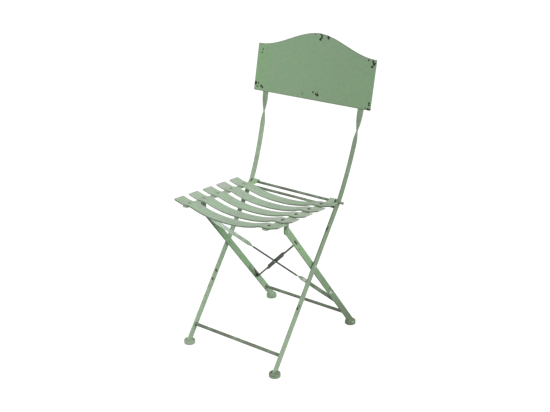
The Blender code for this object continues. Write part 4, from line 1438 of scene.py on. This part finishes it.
class GARDEN_CHAIR_OT_slats(bpy.types.Operator):
    """Make the dished slats"""

    bl_idname = "garden_chair.slats"
    bl_label = "Slats"

    def execute(self, context):
        settings = context.scene.garden_chair
        sizes = settings.seat
        half_length = extent("slat_1")[0] / 2
        rail_x = middle("right_seat_rail")[0]
        ends = ((0, sizes.slat_corner), (2 * half_length, sizes.slat_corner))
        soft, border, step = 0.0007, 0.0016, 0.0020
        s = stations(2 * half_length, step, ends)
        x = s - half_length
        height = slat_height(x, settings, half_length, rail_x, settings.rivets.slat_head / 2)
        rise = sizes.rail_thickness / 2 + seam + sizes.slat_thickness / 2
        half_width, half_thickness = sizes.slat_depth / 2, sizes.slat_thickness / 2
        end = np.minimum(s, s[-1] - s)
        section = outline(half_width, half_thickness, soft, border, spans=20)
        # Where the front edge's painted shade lies, stronger on the lower half
        front = (section[:, 0] == -1) * np.where(section[:, 2] < 0, *EDGE_SHADE_SHARES)
        for index in range(1, sizes.slat_count + 1):
            node = f"slat_{index}"
            shade, edge_shade_from, film = SLAT_SHADES[index - 1]
            line_age = EDGE_SHADE * smooth_step((x - edge_shade_from) / EDGE_SHADE_FADE)[:, None] * front
            age = shade * smooth_step((x - SHADE_FROM) / SHADE_FADE)[:, None] + line_age
            chips = []
            for name, size in RIVET_CHIPS_AND_SHADE:
                chip = middle(f"{name}_{node}_rivet") - RIVET_CHIP_AND_SHADE_AHEAD * along(seat_angle)
                chips.append((*chip, size))
            forwards = (middle(node)[1:] - hook_rod[1:]) @ along(seat_angle)[1:]
            line = side_places(seat_angle, hook_rod, np.full(len(x), forwards), rise + height)
            line = line + x[:, None] * ACROSS
            surface = swept(
                line,
                along(seat_angle),
                half_width - drawn_in(end, sizes.slat_corner),
                half_thickness - drawn_in(end, soft),
                section,
                soft,
            )
            dust = film * smooth_step((np.abs(x - FILM_MIDDLE) - FILM_CLEAR) / FILM_FADE)
            shades = {"age": age.ravel(), "dust": dust.repeat(len(section))}
            piece(node, "strip", [surface], finish("old_seat_paint"), chips, **shades)
        return {"FINISHED"}


def rivet(at, axis, total, head, tail, pin_radius):
    """A rivet along an axis, centred on a place: a domed tail, its pin and a domed head."""
    head_radius, head_height = head
    tail_radius, tail_height = tail
    lower = [(r, tail_height - h, e) for r, h, e in dome(tail_radius, tail_height)[::-1]]
    upper = [(r, total - head_height + h, e) for r, h, e in dome(head_radius, head_height)]
    pin = [(pin_radius, tail_height, 0), (pin_radius, total - head_height, 0)]
    start = np.asarray(at) - np.asarray(axis) * total / 2
    return lathe(lower + pin + upper, start, axis, around=28)


def washer(node, hole_radius):
    """A flat washer with soft edges, turned about X."""
    radius, half = extent(node)[2] / 2, extent(node)[0] / 2
    soft = half * 0.5
    profile = [
        (hole_radius, -half, 0.5),
        (radius - soft, -half, 0.5),
        (radius - soft * 0.3, -half + soft * 0.3, 1),
        (radius, -half + soft, 1),
        (radius, half - soft, 1),
        (radius - soft * 0.3, half - soft * 0.3, 1),
        (radius - soft, half, 0.5),
        (hole_radius, half, 0.5),
    ]
    return ring(profile, middle(node), ACROSS)


# The radius and height of the rivets' hidden tails, and the radius of their pins
LEG_PIVOT_TAIL, LEG_PIVOT_PIN = (0.0055, 0.0025), 0.0035
SEAT_PIVOT_TAIL, SEAT_PIVOT_PIN = (0.00475, 0.002), 0.003
SLAT_TAIL, SLAT_PIN = (0.0036, 0.0015), 0.0025
BRACE_PIN = 0.002
# Radius of the pale scuff on the right leg's lower rivet, which also paints its head's highlight, and
# how bare its upper rivet is
RIVET_SCUFF_AND_HIGHLIGHT, RIVET_BARE = 0.0032, 0.6
# How dark and how bare the slats' rivets are
SLAT_RIVET_SHADES = {"left": {"age": 0.7, "bare": 0.25}, "right": {"age": 1.3, "bare": 0.55}}


class GARDEN_CHAIR_OT_pivots(bpy.types.Operator):
    """Make the rivets and washers of the leg pivots and the seat pivots"""

    bl_idname = "garden_chair.pivots"
    bl_label = "Pivots"

    def execute(self, context):
        sizes = context.scene.garden_chair.rivets
        leg = ((sizes.pivot_head / 2, sizes.pivot_height), LEG_PIVOT_TAIL, LEG_PIVOT_PIN)
        seat = ((sizes.seat_head / 2, sizes.seat_height), SEAT_PIVOT_TAIL, SEAT_PIVOT_PIN)
        for name, side in SIDES:
            for joint, (head, tail, pin) in (("leg_pivot", leg), ("seat_pivot", seat)):
                node = f"{name}_{joint}_rivet"
                axis = ACROSS * side
                surface = rivet(middle(node), axis, extent(node)[0], head, tail, pin)
                piece(node, "head", [surface], finish("old_rivet_paint"))
                node = f"{name}_{joint}_washer"
                piece(node, "ring", [washer(node, pin + seam)], finish("old_rivet_paint"))
        return {"FINISHED"}


class GARDEN_CHAIR_OT_small_rivets(bpy.types.Operator):
    """Make the rivets of the braces and the slats"""

    bl_idname = "garden_chair.small_rivets"
    bl_label = "Small Rivets"

    def execute(self, context):
        settings = context.scene.garden_chair
        sizes = settings.rivets
        brace_end = (sizes.brace_head / 2, sizes.small_height)
        total = 2 * settings.braces.thickness + 3 * seam + 2 * sizes.small_height
        normal = -np.cross(ACROSS, along(leg_angle))
        at = middle("brace_centre_rivet")
        surface = rivet(at, normal, total, brace_end, brace_end, BRACE_PIN)
        piece("brace_centre_rivet", "head", [surface], finish("old_rivet_paint"))
        for name, side in SIDES:
            for level in ("upper", "lower"):
                node = f"{name}_{level}_brace_rivet"
                total = extent(node)[0]
                axis = ACROSS * side
                surface = rivet(middle(node), axis, total, brace_end, brace_end, BRACE_PIN)
                bare = RIVET_BARE if (name, level) == ("right", "upper") else 0.0
                crown = middle(node) + 0.5 * total * axis
                scuffs_and_highlights = [(*crown, RIVET_SCUFF_AND_HIGHLIGHT)] if (name, level) == ("right", "lower") else []
                piece(node, "head", [surface], finish("old_rivet_paint"), (), scuffs_and_highlights, bare=bare)
        seat = settings.seat
        head = (sizes.slat_head / 2, sizes.small_height)
        total = seat.slat_thickness + seat.rail_thickness + 3 * seam + head[1] + SLAT_TAIL[1]
        up_seat = along(seat_angle + np.pi / 2)
        for name, shades in SLAT_RIVET_SHADES.items():
            for index in range(1, seat.slat_count + 1):
                node = f"{name}_slat_{index}_rivet"
                surface = rivet(middle(node), up_seat, total, head, SLAT_TAIL, SLAT_PIN)
                piece(node, "head", [surface], finish("old_rivet_paint"), **shades)
        return {"FINISHED"}


# Where the soft lamps stand, what they face, and the side of their square
KEY_PLACE = (-1.1, -2.35, 1.95)
SIDE_PLACE = (2.8, -0.1, 1.53)
BACK_PLACE = (1.7, 2.1, 1.75)
LAMP_TARGET = (0, 0, 0.45)
LAMP_SIZE = 2.0
# The floor's reach, its grey to bounced light, and its grey and glow to the camera
FLOOR_REACH = 15
BOUNCED_GREY, SEEN_GREY, SEEN_GLOW = 0.35, 0.32, 0.82


class GARDEN_CHAIR_OT_stage(bpy.types.Operator):
    """Set the camera, the soft lamps and the pale floor"""

    bl_idname = "garden_chair.stage"
    bl_label = "Stage"

    def execute(self, context):
        scene = context.scene
        sizes = scene.garden_chair.stage
        self.camera(scene, sizes)
        self.lamp("key_lamp", KEY_PLACE, sizes.key_light)
        self.lamp("side_lamp", SIDE_PLACE, sizes.side_light)
        self.lamp("back_lamp", BACK_PLACE, sizes.back_light)
        self.sky(scene, sizes)
        self.floor()
        scene.view_settings.view_transform = "Standard"
        return {"FINISHED"}

    def camera(self, scene, sizes):
        """A camera at a distance from its target, turned by azimuth, elevation and roll."""
        right, up, back = camera_axes(sizes)
        place = Matrix([Vector(right), Vector(up), Vector(back)]).transposed().to_4x4()
        place.translation = Vector(sizes.target) + Vector(back) * sizes.distance
        camera = bpy.data.objects.new("camera", bpy.data.cameras.new("camera"))
        camera.data.sensor_width = SENSOR_WIDTH
        camera.data.lens = sizes.lens
        camera.matrix_world = place
        scene.collection.objects.link(camera)
        scene.camera = camera

    def lamp(self, name, place, power):
        """A soft square lamp that faces the middle of the chair."""
        light = bpy.data.lights.new(name, "AREA")
        light.size = LAMP_SIZE
        light.energy = power
        lamp = bpy.data.objects.new(name, light)
        lamp.location = place
        facing = Vector(LAMP_TARGET) - Vector(place)
        lamp.rotation_euler = facing.to_track_quat("-Z", "Y").to_euler()
        bpy.context.scene.collection.objects.link(lamp)

    def sky(self, scene, sizes):
        """Soft light from all round, which the camera and glossy rays see as white."""
        world = bpy.data.worlds.new("sky")
        world.use_nodes = True
        tree = world.node_tree
        light = tree.nodes["Background"]
        light.inputs["Strength"].default_value = sizes.sky
        white = tree.nodes.new("ShaderNodeBackground")
        white.inputs["Color"].default_value = (1, 1, 1, 1)
        light.inputs["Color"].default_value = (1, 1, 1, 1)
        mix = tree.nodes.new("ShaderNodeMixShader")
        tree.links.new(seen_directly(tree), mix.inputs[0])
        tree.links.new(light.outputs[0], mix.inputs[1])
        tree.links.new(white.outputs[0], mix.inputs[2])
        tree.links.new(mix.outputs[0], tree.nodes["World Output"].inputs["Surface"])
        scene.world = world

    def floor(self):
        """A pale floor: grey to the light that bounces, and near white to the camera."""
        mesh = bpy.data.meshes.new("floor")
        signs = ((-1, -1), (1, -1), (1, 1), (-1, 1))
        corners = [(FLOOR_REACH * x, FLOOR_REACH * y, 0) for x, y in signs]
        mesh.from_pydata(corners, [], [(0, 1, 2, 3)])
        floor = bpy.data.objects.new("floor", mesh)
        bpy.context.scene.collection.objects.link(floor)
        material = bpy.data.materials.new("pale_floor")
        material.use_nodes = True
        tree = material.node_tree
        tree.nodes.remove(tree.nodes["Principled BSDF"])
        grey = tree.nodes.new("ShaderNodeBsdfDiffuse")
        grey.inputs["Color"].default_value = (*[BOUNCED_GREY] * 3, 1)
        pale = tree.nodes.new("ShaderNodeBsdfDiffuse")
        pale.inputs["Color"].default_value = (*[SEEN_GREY] * 3, 1)
        glow = tree.nodes.new("ShaderNodeEmission")
        glow.inputs["Color"].default_value = (*[SEEN_GLOW] * 3, 1)
        lit = tree.nodes.new("ShaderNodeAddShader")
        tree.links.new(pale.outputs[0], lit.inputs[0])
        tree.links.new(glow.outputs[0], lit.inputs[1])
        mix = tree.nodes.new("ShaderNodeMixShader")
        tree.links.new(seen_directly(tree), mix.inputs[0])
        tree.links.new(grey.outputs[0], mix.inputs[1])
        tree.links.new(lit.outputs[0], mix.inputs[2])
        tree.links.new(mix.outputs[0], tree.nodes["Material Output"].inputs["Surface"])
        mesh.materials.append(material)


def seen_directly(tree):
    """A node socket that is 1 for camera, glossy and transmission rays."""
    path = tree.nodes.new("ShaderNodeLightPath")
    seen = path.outputs["Is Camera Ray"]
    for kind in ("Is Glossy Ray", "Is Transmission Ray"):
        either = tree.nodes.new("ShaderNodeMath")
        either.operation = "MAXIMUM"
        tree.links.new(seen, either.inputs[0])
        tree.links.new(path.outputs[kind], either.inputs[1])
        seen = either.outputs[0]
    return seen


class GARDEN_CHAIR_PT_panel(bpy.types.Panel):
    """The chair's settings and the steps that build it"""

    bl_idname = "GARDEN_CHAIR_PT_panel"
    bl_label = "Garden Chair"
    bl_space_type = "VIEW_3D"
    bl_region_type = "UI"
    bl_category = "Garden Chair"

    def draw(self, context):
        settings = context.scene.garden_chair
        for step in STEPS:
            self.layout.operator(step.bl_idname)
        for name in settings.bl_rna.properties.keys():
            group = getattr(settings, name)
            if not isinstance(group, bpy.types.PropertyGroup):
                continue
            box = self.layout.box()
            box.label(text=name.capitalize())
            for key in type(group).__annotations__:
                box.prop(group, key)


STEPS = (
    GARDEN_CHAIR_OT_stage,
    GARDEN_CHAIR_OT_uprights,
    GARDEN_CHAIR_OT_back,
    GARDEN_CHAIR_OT_rods,
    GARDEN_CHAIR_OT_rear_legs,
    GARDEN_CHAIR_OT_feet,
    GARDEN_CHAIR_OT_braces,
    GARDEN_CHAIR_OT_rails,
    GARDEN_CHAIR_OT_slats,
    GARDEN_CHAIR_OT_pivots,
    GARDEN_CHAIR_OT_small_rivets,
)
GROUPS = (
    BarSizes,
    PanelSizes,
    BraceSizes,
    SeatSizes,
    RivetSizes,
    PaintColours,
    StageSizes,
    ChairSettings,
)


def register():
    """Register the settings, the steps and the panel."""
    for kind in (*GROUPS, *STEPS, GARDEN_CHAIR_PT_panel):
        bpy.utils.register_class(kind)
    bpy.types.Scene.garden_chair = PointerProperty(type=ChairSettings)


def unregister():
    """Take them away again."""
    del bpy.types.Scene.garden_chair
    for kind in reversed((*GROUPS, *STEPS, GARDEN_CHAIR_PT_panel)):
        bpy.utils.unregister_class(kind)


def main():
    """Register, and run every step in order."""
    register()
    for step in STEPS:
        group, name = step.bl_idname.split(".")
        getattr(getattr(bpy.ops, group), name)()


if __name__ == "__main__":
    main()
